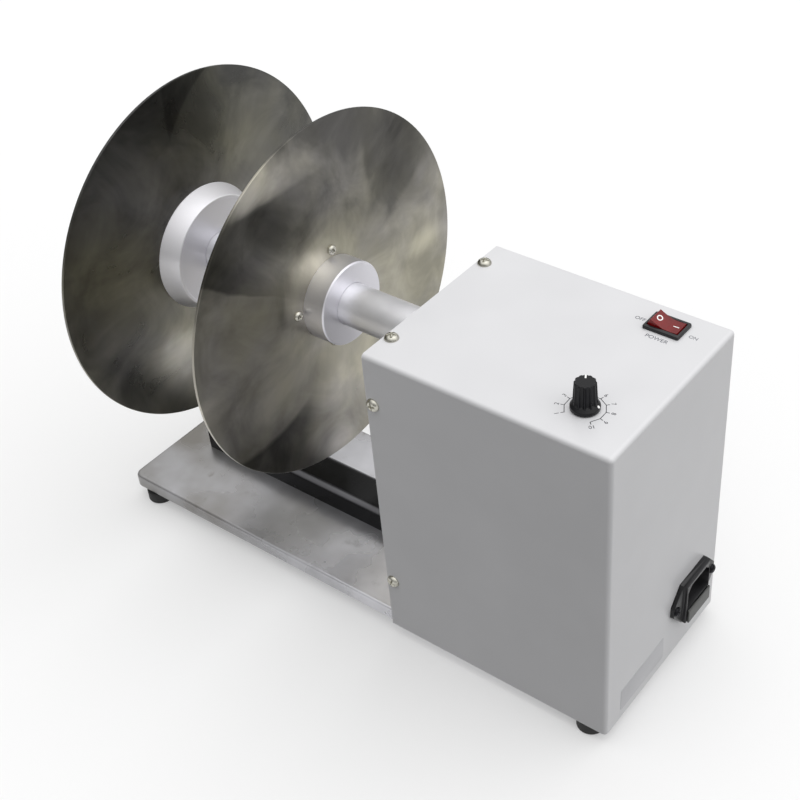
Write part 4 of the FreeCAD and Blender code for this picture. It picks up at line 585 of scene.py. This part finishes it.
def discs():
    """Flange discs: rings of sheet whose two rims are broken by 0.3 mm."""
    inner, outer, rings = COLLAR_RADIUS + 0.05, DISC_RADIUS, 22
    between = np.linspace(inner, outer, rings + 2)[1:-1]
    radii = [0.0] * (rings + 1) + [0.3, 0.3] + [0.0] * (rings + 1)
    for name, face, body, steel in (("inner_disc", INNER_DISC, "spindle_set", INNER_STEEL),
                                    ("outer_disc", OUTER_DISC, "outer_flange", OUTER_STEEL)):
        left = face - DISC_SHEET
        section = [(left, inner)] + [(left, r) for r in between] + [(left, outer), (face, outer)]
        section += [(face, r) for r in between[::-1]] + [(face, inner)]
        turned_piece(name + "_sheet", rounded(section, radii, 4, True), 0.0, "+x", body, steel,
                     "stainless_disc", name, 256)


def core_hubs():
    """Hubs: collar, tapered nose, and a dish inside the nose's rim, one closed profile round the bore."""
    low, (nose, base, _) = corners("outer_hub")
    rear, nose = low[0] - OUTER_DISC, nose - OUTER_DISC
    rim, collar, bevel, dish = HUB_NOSE_RADIUS, COLLAR_RADIUS, 0.8, 1.0
    seats = (("inner_hub", INNER_DISC - DISC_SHEET, "-x", "spindle_set", SPINDLE_RADIUS + 0.05),
             ("outer_hub", OUTER_DISC, "+x", "outer_flange", SPINDLE_RADIUS + 0.08))
    for name, face, way, body, bore in seats:
        outline = [(rear, bore), (rear, collar - bevel), (rear + bevel, collar), (0.0, collar), (0.0, base),
                   (nose, rim), (nose, rim - 2.0), (nose - dish, rim - 2.0), (nose - dish, bore)]
        profile = rounded(outline, [0.3, 0.2, 0.2, 0.0, 0.3, 0.45, 0.3, 0.3, 0.3], 5, True)
        turned_piece(name + "_turning", profile, face, way, body, HUB_ALUMINIUM, "satin_aluminium", name, 128)


def spindle():
    """Spindle: bevelled end, mark groove, plain stretch, gear seat and journal, turned in one profile."""
    (left, _, _), (right, _, _) = corners("spindle")
    groove = corners("outer_hub")[0, 0] - 0.5
    shoulder, seat_end = corners("bearing_inner_ring")[1, 0], corners("spindle_gear")[1, 0]
    r, seat, journal, bevel, depth = SPINDLE_RADIUS, 9.0, 6.0, 1.5, 0.4
    section = [(left, 0.0), (left, r - bevel), (left + bevel, r), (groove - 1.0, r),
               (groove - 1.0, r - depth), (groove, r - depth), (groove, r), (shoulder, r), (shoulder, seat),
               (seat_end, seat), (seat_end, journal), (right, journal), (right, 0.0)]
    profile = rounded(section, [0, 0.25, 0.25, 0.1, 0, 0, 0.1, 0.2, 0, 0.2, 0, 0.3, 0], 4, False, 0.1)
    turned_piece("spindle_turning", profile, 0.0, "+x", "spindle_set", SPINDLE_STEEL, "spindle_steel",
                 "spindle", loop=False)


def pan_head(radius, height, shank, length, turn):
    """Pan head with a cross recess, closed by its shank.

    The dome is h (1 - p ** 3.4) ** 0.6 with p the share of the radius. The recess is cut where
    either arm of the cross is nearer than its half width; its wall slopes over a tenth of the
    radius and its floor rises outwards along the arms.
    """
    columns = 72
    p = np.concatenate([np.linspace(0, 0.9, 22), np.linspace(0.92, 1, 8)])[:, None]
    t = np.linspace(0, 2 * math.pi, columns, endpoint=False)[None, :]
    dome = height * np.maximum(1 - p ** 3.4, 0) ** 0.6 + 0 * t
    across, along = p * np.cos(t - turn), p * np.sin(t - turn)
    arm = lambda s, e: np.minimum(0.15 - np.abs(s), 0.62 - np.abs(e))
    inside = np.clip(np.maximum(arm(across, along), arm(along, across)) / 0.1, 0, 1)
    depth = height * 0.62 * inside * (1 - 0.7 * np.maximum(np.abs(across), np.abs(along)))
    top = np.stack([dome - depth, radius * p * np.cos(t), radius * p * np.sin(t)], -1)
    under = lathe(np.array([(0.0, radius), (0.0, shank), (-length, shank), (-length, 0.0)]), columns)
    return np.concatenate([top, under])[::-1]


def screws(name, node, seats, body, size="m3", length=6.0, material=SCREW_NICKEL, slot="zinc_steel"):
    """Pan-head screws of one node, each with its cross turned its own way."""
    radius, height, shank = {"m3": (3.0, 2.0, 1.5), "m4": (4.0, 2.5, 2.0)}[size]
    forms = [facing(pan_head(radius, height, shank, length, 0.55 + 1.37 * i), seat, way)
             for i, (seat, way) in enumerate(seats)]
    piece(name, *alike(forms), body, material, slot, [node], crease=50.0)


def round_screws(face, way):
    """Seats of the four screws of a disc."""
    turn = np.radians(DISC_SCREW_TURN + 90.0 * np.arange(4))
    r = DISC_SCREW_CIRCLE
    return [((face, r * math.cos(a), AXIS_Z + r * math.sin(a)), way) for a in turn]


def all_screws():
    """Screws that show: six of the cover, four of each disc and two of the inlet."""
    x = CASE_FACE + COVER_SCREW_INSET
    cover = [((x, side * COVER_SCREW_SIDE, CASE_ROOF), "+z") for side in (-1, 1)]
    cover += [((x, side * CASE_HALF, CASE_FLOOR + z), way) for z in (COVER_SCREW_HIGH, COVER_SCREW_LOW)
              for side, way in ((-1, "-y"), (1, "+y"))]
    screws("cover_screw_heads", "cover_screws", cover, "case", "m4")
    inner, outer = round_screws(INNER_DISC, "+x"), round_screws(OUTER_DISC - DISC_SHEET, "-x")
    screws("inner_disc_screws", "inner_hub_screws", inner, "spindle_set")
    screws("outer_disc_screws", "outer_hub_screws", outer, "outer_flange")
    inlet = [((CASE_END + INLET_FLANGE, INLET[0] + side, INLET[1]), "+x")
             for side in (-INLET_SCREW_HALF, INLET_SCREW_HALF)]
    screws("inlet_screw_heads", "inlet_screws", inlet, "case", "m3", 8.0, BLACK_OXIDE, "black_oxide_steel")


def rounded_plan(length, width, corner, inset=0.0, steps=10):
    """Outline of a rectangle about the origin with round corners, drawn inwards by inset, as points."""
    half = np.array([length / 2 - corner, width / 2 - corner])
    quarter = np.radians(np.linspace(0, 90, steps))
    turn = np.concatenate([quarter + i * math.pi / 2 for i in range(4)])
    sign = np.repeat([(1, 1), (-1, 1), (-1, -1), (1, -1)], steps, 0)
    reach, shrink = max(corner - inset, 0.0), min(corner - inset, 0.0)
    return sign * (half + shrink) + reach * np.stack([np.cos(turn), np.sin(turn)], -1)


def stack(levels, plans):
    """Loops at their levels, as rows of (x, y, z) points."""
    return np.stack([np.column_stack([plan, np.full(len(plan), z)]) for z, plan in zip(levels, plans)])


def base_tray():
    """Folded tray: an outline with round corners, carried up the skirt and over a bend to the flat top."""
    (left, near, under), (right, far, top) = corners("base_tray")
    profile = rounded([(0.0, under), (0.0, top), (TRAY_CORNER, top)], [0, TRAY_BEND, 0], 9, False, 0.3)[:-1]
    plans = [rounded_plan(right - left, far - near, TRAY_CORNER, inset) for inset in profile[:, 0]]
    loops = stack(profile[:, 1], plans)
    loops[..., 0] += (left + right) / 2
    rows, columns = loops.shape[:2]
    cap = (rows - 1) * columns + np.arange(columns)
    tray = piece("base_tray_sheet", loops, quads(rows, columns), "case", TRAY_STEEL, "stainless_tray",
                 ["base_tray"], [cap])
    lay_wall(tray, TRAY_SHEET)


def base_bar():
    """Black bar: a section with two rounded top edges, drawn in at both ends, swept along X."""
    (left, near, low), (right, far, top) = corners("base_bar")
    edge = 4.5
    section = rounded([(near, low), (far, low), (far, top), (near, top)], [0, 0, edge, edge], 10, True)
    heart = np.array([(near + far) / 2, (low + top) / 2])
    ends = np.array([(left, 0.6), (left + 0.2, 0.18), (left + 0.6, 0.0),
                     (right - 0.6, 0.0), (right - 0.2, 0.18), (right, 0.6)])
    drawn = section[None] - np.sign(section - heart)[None] * ends[:, 1][:, None, None]
    drawn[..., 1] = np.maximum(drawn[..., 1], low)
    points = np.concatenate([np.broadcast_to(ends[:, :1, None], (len(ends), len(section), 1)), drawn], -1)
    swept("base_bar_paint", points, "case", BAR_PAINT, "bar_black", ["base_bar"])


def feet():
    """Rubber feet: a cup with a well for the screw below and a neck that reaches into the tray above."""
    neck_top, neck, shoulder, well_roof, well, r = 16.5, 5.2, 8.2, 5.6, 4.5, FOOT_RADIUS
    cup = [(neck_top, 0.0), (neck_top, neck), (shoulder, neck), (shoulder, r), (1.0, r), (0.0, r - 1.0),
           (0.0, well), (well_roof, well), (well_roof, 0.0)]
    form = lathe(rounded(cup, [0, 0.3, 0.3, 0.6, 0.8, 0.6, 0.3, 0.2, 0], 5)[::-1], 64)
    (left, _, _), (right, _, _) = corners("feet")
    seats = [(x, y, 0.0) for x in (left + r, right - r) for y in (r - CASE_HALF, CASE_HALF - r)]
    forms = [facing(form, seat, "+z") for seat in seats]
    piece("rubber_feet", *alike(forms), "case", RUBBER, "foot_rubber", ["feet"])


def case_cover():
    """Folded cover: a box whose edges and corners are round, open below and towards the discs.

    A point p of the box's own face is moved to q + r (p - q) / |p - q|, with q the nearest point of
    the box shrunk by r. Grid lines stand where the openings for switch and inlet begin and end,
    and along the bends at r tan(f) for even steps of f, so that the arcs are even. The faces
    inside the openings are left out, and the wall is laid inside.
    """
    r = CASE_BEND
    bend = r * np.tan(np.radians(np.linspace(0, 45, 7)))

    def lines(low, high, openings, both=False):
        """Grid lines of one direction: openings, and the bend above or the bends on both sides."""
        parts = [openings, high - r + bend, [high - r - 0.4]]
        parts += [low + r - bend, [low + r + 0.4]] if both else [[low]]
        return np.unique(np.round(np.concatenate(parts), 6))

    def sheet(first, second, build, place=(0.0, 0.0), half=(0.0, 0.0)):
        """One face of the box without the cells of its opening, which lies half to both sides of place."""
        a, b = np.meshgrid(first, second, indexing="ij")
        inside_a = abs((first[:-1] + first[1:]) / 2 - place[0]) < half[0]
        inside_b = abs((second[:-1] + second[1:]) / 2 - place[1]) < half[1]
        kept = ~(inside_a[:, None] & inside_b[None, :]).reshape(-1)
        return build(a, b).reshape(-1, 3), quads(len(first), len(second), False)[kept]

    (wide, deep), (broad, high) = SWITCH_OPENING, INLET_OPENING
    xs = lines(CASE_FACE, CASE_END, [SWITCH[0] - wide, SWITCH[0] + wide])
    ys = lines(-CASE_HALF, CASE_HALF,
               [SWITCH[1] - deep, SWITCH[1] + deep, INLET[0] - broad, INLET[0] + broad], True)
    zs = lines(CASE_FLOOR, CASE_ROOF, [INLET[1] - high, INLET[1] + high])
    roof = sheet(xs, ys, lambda x, y: np.stack([x, y, 0 * x + CASE_ROOF], -1), SWITCH, SWITCH_OPENING)
    end = sheet(ys, zs, lambda y, z: np.stack([0 * y + CASE_END, y, z], -1), INLET, INLET_OPENING)
    near = sheet(xs, zs, lambda x, z: np.stack([x, 0 * x - CASE_HALF, z], -1))
    far = sheet(xs, zs, lambda x, z: np.stack([x, 0 * x + CASE_HALF, z], -1))
    faces, count = [], 0
    for (own, cells), flip in ((roof, True), (end, True), (near, True), (far, False)):
        faces.append((cells[:, ::-1] if flip else cells) + count)
        count += len(own)
    points = np.concatenate([roof[0], end[0], near[0], far[0]])
    core = np.clip(points, [CASE_FACE - 1, -CASE_HALF + r, CASE_FLOOR - 1],
                   [CASE_END - r, CASE_HALF - r, CASE_ROOF - r])
    away = points - core
    points = core + r * away / np.linalg.norm(away, axis=1, keepdims=True)
    cover = piece("cover_sheet", points, np.concatenate(faces), "case", COAT, "powder_coat_white",
                  ["case_cover"], crease=60.0)
    lay_wall(cover, CASE_SHEET)


def speed_knob():
    """Fluted knob: the radius at height z is that of the turned profile, or of the flute if that is smaller.

    A flute is a circle of 1.25 mm whose centre stands c out, 6.3 mm at the waist and 5.9 mm at the top;
    the ray at an angle d from it meets its near side at c cos d - sqrt(1.25 ** 2 - (c sin d) ** 2).
    Twelve flutes start above the skirt, the first at 135 degrees.
    """
    (_, _, foot), (_, _, top) = corners("speed_knob")
    height, waist, shoulder, flute = top - foot, (3.2, 6.2), (15.5, 5.53), 1.25
    path = [(2.3, 0.0), (2.3, 5.6), (0.0, 5.6), (0.0, 7.5), (1.92, 7.5), waist, shoulder, (height, 5.0),
            (height, 0.0)]
    profile = rounded(path, [0, 0.2, 0.1, 0.3, 0.3, 0.4, 0.3, 0.3, 0], 5)
    rise = np.linspace(3.25, 15.3, 18)
    grip = np.interp(rise, [waist[0], shoulder[0]], [waist[1], shoulder[1]])
    profile = np.concatenate([profile, np.stack([rise, grip], -1)])
    wall = (profile[:, 0] >= 3.0) & (profile[:, 1] > 5.05)
    below, above = profile[:, 0] < 3.0, (profile[:, 0] > 15.0) & (profile[:, 1] <= 5.05)
    order = np.argsort(profile[wall, 0], kind="stable")
    rows = np.concatenate([profile[below], profile[wall][order], profile[above]])
    turns = 288
    t = np.linspace(0, 2 * math.pi, turns, endpoint=False)[None, :]
    off = np.radians((np.degrees(t) - 135.0 + 15.0) % 30.0 - 15.0)
    centre = 6.3 - 0.4 * np.clip((rows[:, :1] - waist[0]) / (height - waist[0]), 0, 1)
    side = centre * np.sin(off)
    cut = centre * np.cos(off) - np.sqrt(np.maximum(flute ** 2 - side ** 2, 0))
    base = rows[:, 1:] + 0 * t
    fluted = np.where(np.abs(side) < flute, np.minimum(base, cut), base)
    radius = base + (fluted - base) * np.clip((rows[:, :1] - waist[0]) / 0.5, 0, 1)
    points = np.stack([rows[:, :1] + 0 * t, radius * np.cos(t), radius * np.sin(t)], -1)
    points = facing(points, (KNOB[0], KNOB[1], foot), "+z")
    piece("knob_fluted", points, quads(len(rows), turns), "knob", KNOB_ABS, "black_plastic", ["speed_knob"],
          crease=40.0)

    turn = math.radians(120.0)
    way, across = np.array([math.cos(turn), math.sin(turn)]), np.array([-math.sin(turn), math.cos(turn)])
    start, end, half = 2.4, 5.0, 0.42
    mark = KNOB + np.array([start * way - half * across, end * way - half * across,
                            end * way + half * across, start * way + half * across])
    swept("knob_mark", stack((top - 0.1, top + 0.04), (mark, mark)), "knob", WHITE_INK)

    turn, flat = math.radians(9.0), 0.75 * around(24)
    out, beside = 6.9 + flat[:, 0] * 0.72, flat[:, 1]
    lower = np.column_stack([KNOB[0] + out * math.cos(turn) - beside * math.sin(turn),
                             KNOB[1] + out * math.sin(turn) + beside * math.cos(turn),
                             foot + 2.62 - flat[:, 0] * 0.7])
    raised = lower + 0.08 * np.array([math.cos(turn), math.sin(turn), 1.0])
    swept("knob_dot", np.stack([lower, raised]), "knob", WHITE_INK)


def switch_bezel():
    """Switch: one skin from the block's underside over the bezel's bevel and down the well to its floor.

    Each loop is given by its length, width, corner radius and height above the roof.
    """
    sizes = [(19.2, 12.8, 0.4, -14.0), (19.2, 12.8, 0.4, -0.05), (21.0, 15.0, 1.0, 0.0),
             (21.0, 15.0, 1.0, 1.4), (20.6, 14.6, 0.9, 1.75), (19.8, 13.8, 0.8, 1.96), (19.4, 13.4, 0.7, 2.0),
             (18.4, 11.2, 0.4, 2.0), (18.2, 11.0, 0.3, 1.85), (18.2, 11.0, 0.3, -7.0)]
    loops = stack([CASE_ROOF + size[3] for size in sizes],
                  [rounded_plan(*size[:3], steps=6) for size in sizes])
    loops[..., :2] += SWITCH
    swept("switch_moulding", loops, "case", BLACK_ABS, "black_plastic", ["switch_body"], crease=30.0)


def rocker():
    """Rocker: a drum of 8.8 mm cut by two planes that rise 12 degrees from its waist, swept along Y.

    Its faces sag by a half sine wave. It rests tilted by the same 12 degrees about its pivot, which
    lies at the height of the roof. The ring and the bar are printed on its faces.
    """
    drum, waist, tilt, lowest, sag = 8.8, 2.35, math.radians(12.0), 3.7, 0.22
    slope, cosine, sine = math.tan(tilt), math.cos(tilt), math.sin(tilt)
    turn = np.array([[cosine, 0.0, -sine], [0.0, 1.0, 0.0], [sine, 0.0, cosine]])
    placed = lambda points: points @ turn + np.array([*SWITCH, CASE_ROOF])
    a, b, c = 1 + slope ** 2, 2 * waist * slope, waist ** 2 - drum ** 2
    tip = (-b + math.sqrt(b * b - 4 * a * c)) / (2 * a)
    face_height = lambda x: waist + slope * x - sag * np.sin(math.pi * np.minimum(x, tip) / tip)

    side = np.linspace(-math.asin(lowest / drum), math.atan2(waist + slope * tip, tip), 14)
    arc = drum * np.stack([np.cos(side), np.sin(side)], -1)
    face = np.linspace(tip, 0.0, 10)[1:]
    right = np.concatenate([arc, np.stack([face, face_height(face)], -1)])
    left = (right[:-1] * (-1, 1))[::-1]
    outline = np.concatenate([right, left])
    width = np.array([(-5.2, 0.35), (-5.1, 0.12), (-4.85, 0.0), (4.85, 0.0), (5.1, 0.12), (5.2, 0.35)])
    shrink = outline[None] * (1 - width[:, 1][:, None, None] / drum)
    points = np.stack([shrink[..., 0], np.broadcast_to(width[:, :1], shrink.shape[:2]), shrink[..., 1]], -1)
    swept("rocker_key", placed(points), "rocker_key", RED_CARBONATE, "rocker_red", ["rocker"], True, 40.0)

    on_face = lambda x, y: np.stack([x, y, face_height(np.abs(x)) + 0.03], -1)
    way = around(40)
    ring = np.stack([on_face(-5.0 + radius * way[:, 0], radius * 1.25 * way[:, 1])
                     for radius in (1.0, 1.05, 1.55, 1.6)])
    ring[1:3, :, 2] += 0.1
    piece("rocker_ring_mark", placed(ring), quads(4, 40)[:, ::-1], "rocker_key", WHITE_INK)
    bar = on_face(*np.meshgrid([3.2, 3.3, 4.8, 6.3, 6.4], [-0.3, -0.22, 0.22, 0.3], indexing="ij"))
    bar[1:-1, 1:-1, 2] += 0.1
    piece("rocker_bar_mark", placed(bar), quads(5, 4, False)[:, ::-1], "rocker_key", WHITE_INK)


def strokes(name, starts, ends):
    """Printed lines: each segment is a flat box 0.38 mm wide and 0.03 mm thick, on the roof."""
    width, along = 0.38, ends - starts
    along /= np.linalg.norm(along, axis=1, keepdims=True)
    across = np.stack([-along[:, 1], along[:, 0]], -1) * width / 2
    starts, ends = starts - along * width / 2, ends + along * width / 2
    flat = np.stack([starts - across, ends - across, ends + across, starts + across], 1)
    low = np.concatenate([flat, np.full(flat.shape[:2] + (1,), CASE_ROOF)], -1)
    points = np.concatenate([low, low + (0, 0, 0.03)], 1)
    box = np.array([[3, 2, 1, 0], [4, 5, 6, 7], [0, 1, 5, 4], [1, 2, 6, 5], [2, 3, 7, 6], [3, 0, 4, 7]])
    faces = (box[None] + 8 * np.arange(len(flat))[:, None, None]).reshape(-1, 4)
    piece(name, points, faces, "case", DARK_INK)


def word(name, text, size, centre, turn, material):
    """A printed word or number, made a flat mesh first and then turned and set on the roof."""
    curve = bpy.data.curves.new(name, "FONT")
    curve.body, curve.size, curve.align_x, curve.align_y = text, size * MM, "CENTER", "CENTER"
    curve.extrude = 0.015 * MM
    writing = bpy.data.objects.new(name + "_curve", curve)
    bpy.context.scene.collection.objects.link(writing)
    bpy.context.view_layer.update()
    mesh = bpy.data.meshes.new_from_object(writing)
    bpy.data.objects.remove(writing)
    seat = Vector((centre[0] * MM, centre[1] * MM, (CASE_ROOF + 0.02) * MM))
    mesh.transform(Matrix.Translation(seat) @ Matrix.Rotation(turn, 4, "Z"))
    thing = shown(name, mesh, material)
    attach(thing, "case")


def dial():
    """Dial round the knob: ten ticks 30.3 degrees apart, joined by straight lines, and their numbers."""
    inner, outer, numbers = 10.4, 12.0, 14.0
    turn = np.radians(228.0 - 30.3 * np.arange(10))
    way = np.stack([np.cos(turn), np.sin(turn)], -1)
    strokes("dial_arc", KNOB + inner * way[:-1], KNOB + inner * way[1:])
    strokes("dial_ticks", KNOB + inner * way, KNOB + outer * way)
    for index in range(10):
        place = KNOB + numbers * way[index]
        word("dial_number_%d" % (index + 1), str(index + 1), 3.3, place, turn[index] - math.pi / 2, DARK_INK)


def words():
    """Words printed at the switch, read from the side with the screws."""
    for name, text, size, across, away in (("word_off", "OFF", 3.5, -15.15, -0.95),
                                           ("word_on", "ON", 3.3, 15.85, -0.95),
                                           ("word_power", "POWER", 3.75, 0.55, -11.55)):
        word(name, text, size, SWITCH + (across, away), 0.0, FAINT_INK)


def label_plate():
    """Bare label on the end wall: a film 0.1 mm thick with round corners."""
    plan, seat = rounded_plan(46.0, 17.0, 1.5, steps=8), (-22.1, 22.9)
    loops = np.stack([np.column_stack([np.full(len(plan), CASE_END + raised), plan * scale + seat])
                      for raised, scale in ((0.0, 1.0), (0.08, 1.0), (0.1, 0.998))])
    swept("label_film", loops, "case", LABEL_FILM)


def refined(node, material):
    """A copy of a CAD node whose loose triangles are merged, so that its bends shade smoothly."""
    source = frame["nodes"][node]
    mesh = source.data.copy()
    smoothed(mesh, 0.001, 35.0)
    thing = shown(node + "_refined", mesh, material)
    thing.modifiers.new("even_normals", "WEIGHTED_NORMAL").keep_sharp = True
    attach(thing, source["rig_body"])
    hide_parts(node)


def cad_finishes():
    """Gives each carried-over CAD node the finish of its material slot."""
    for node, thing in frame["nodes"].items():
        for slot in thing.material_slots:
            base = slot.material.name.split(".")[0] if slot.material else ""
            slot.material = CAD_FINISH.get(base, ZINC)


def camera():
    """Camera of the photograph: its place, in metres, and its three axes in the part's frame.

    The photo is an off-centre crop, so the picture is shifted by an eighth of its width.
    """
    place = Vector((0.426815, -0.472481, 0.636439))
    right = Vector((0.8168488, 0.5758977, -0.03316442))
    down = Vector((0.34310005, -0.53125912, -0.77462643))
    ahead = Vector((-0.46372448, 0.62137396, -0.6315489))
    data = bpy.data.cameras.new("camera")
    data.lens, data.sensor_width, data.shift_x = 63.357, 36.0, -0.125
    view = bpy.data.objects.new("camera", data)
    turn = Matrix((right, -down, -ahead)).transposed().to_4x4()
    view.matrix_world = Matrix.Translation(place) @ turn
    bpy.context.scene.collection.objects.link(view)
    bpy.context.scene.camera = view


def glow(tree, way, strength):
    """One soft light of the surround: strength times the cube of the cosine to its direction."""
    direction = add(tree, "TexCoord", out="Generated")
    near = add(tree, "VectorMath DOT_PRODUCT", direction, Vector(way).normalized(), out="Value")
    front = add(tree, "Math MAXIMUM", near, 0.0)
    soft = add(tree, "Math POWER", front, 3.0)
    return add(tree, "Math MULTIPLY", soft, strength)


def studio():
    """Pale floor, a surround that glows softly from above and from four sides, and a white backdrop."""
    white = (1.0, 1.0, 1.0, 1.0)
    world = bpy.data.worlds.new("studio")
    world.use_nodes = True
    tree = world.node_tree
    tree.nodes["Background"].inputs["Color"].default_value = white
    lights = (((0.0, 0.0, 1.0), 1.58), ((0.0, 0.8, 0.6), 0.71), ((-0.8, 0.3, 0.5), 0.26),
              ((0.85, 0.2, 0.5), 1.09), ((0.0, -0.85, 0.5), 0.44))
    total = 0.0
    for way, strength in lights:
        total = add(tree, "Math ADD", total, glow(tree, way, strength))
    tree.links.new(total, tree.nodes["Background"].inputs["Strength"])
    bpy.context.scene.world = world
    bpy.context.scene.view_settings.view_transform = "Standard"

    reach = 6.0
    mesh = bpy.data.meshes.new("floor")
    mesh.from_pydata([(-reach, -reach, 0.0), (reach, -reach, 0.0), (reach, reach, 0.0), (-reach, reach, 0.0)],
                     [], [(0, 1, 2, 3)])
    paper = finish("white_paper_floor", "#CCCCCC", 0.9, Specular_IOR_Level=0.0, Emission_Color=white,
                   Emission_Strength=0.29)[0]
    floor = shown("floor", mesh, paper)
    floor.visible_diffuse = floor.visible_shadow = False

    radius = 8.0
    rise, turn = np.radians(np.linspace(-4, 90, 16))[:, None], np.radians(np.arange(0, 360, 10))[None, :]
    shell = np.stack([np.cos(rise) * np.cos(turn), np.cos(rise) * np.sin(turn), np.sin(rise) + 0 * turn], -1)
    mesh = bpy.data.meshes.new("backdrop")
    mesh.from_pydata((radius * shell).reshape(-1, 3).tolist(), [], quads(16, 36).tolist())
    cloth = finish("white_backdrop", "#FFFFFF", 1.0, Emission_Color=white, Emission_Strength=1.0)[0]
    backdrop = shown("backdrop", mesh, cloth)
    backdrop.visible_diffuse = backdrop.visible_glossy = backdrop.visible_shadow = False
    backdrop.visible_transmission = backdrop.visible_volume_scatter = False


for build in (camera, studio, cad_finishes, discs, core_hubs, spindle, base_tray, base_bar, feet, case_cover,
              all_screws, speed_knob, switch_bezel, rocker, dial, words, label_plate):
    build()
for bent, coat in (("wall_pan", COAT), ("inlet_body", BLACK_ABS), ("fuse_drawer", GREY_NYLON),
                   ("inlet_pins", NICKEL_BRASS), ("thumb_screw", ZINC)):
    refined(bent, coat)
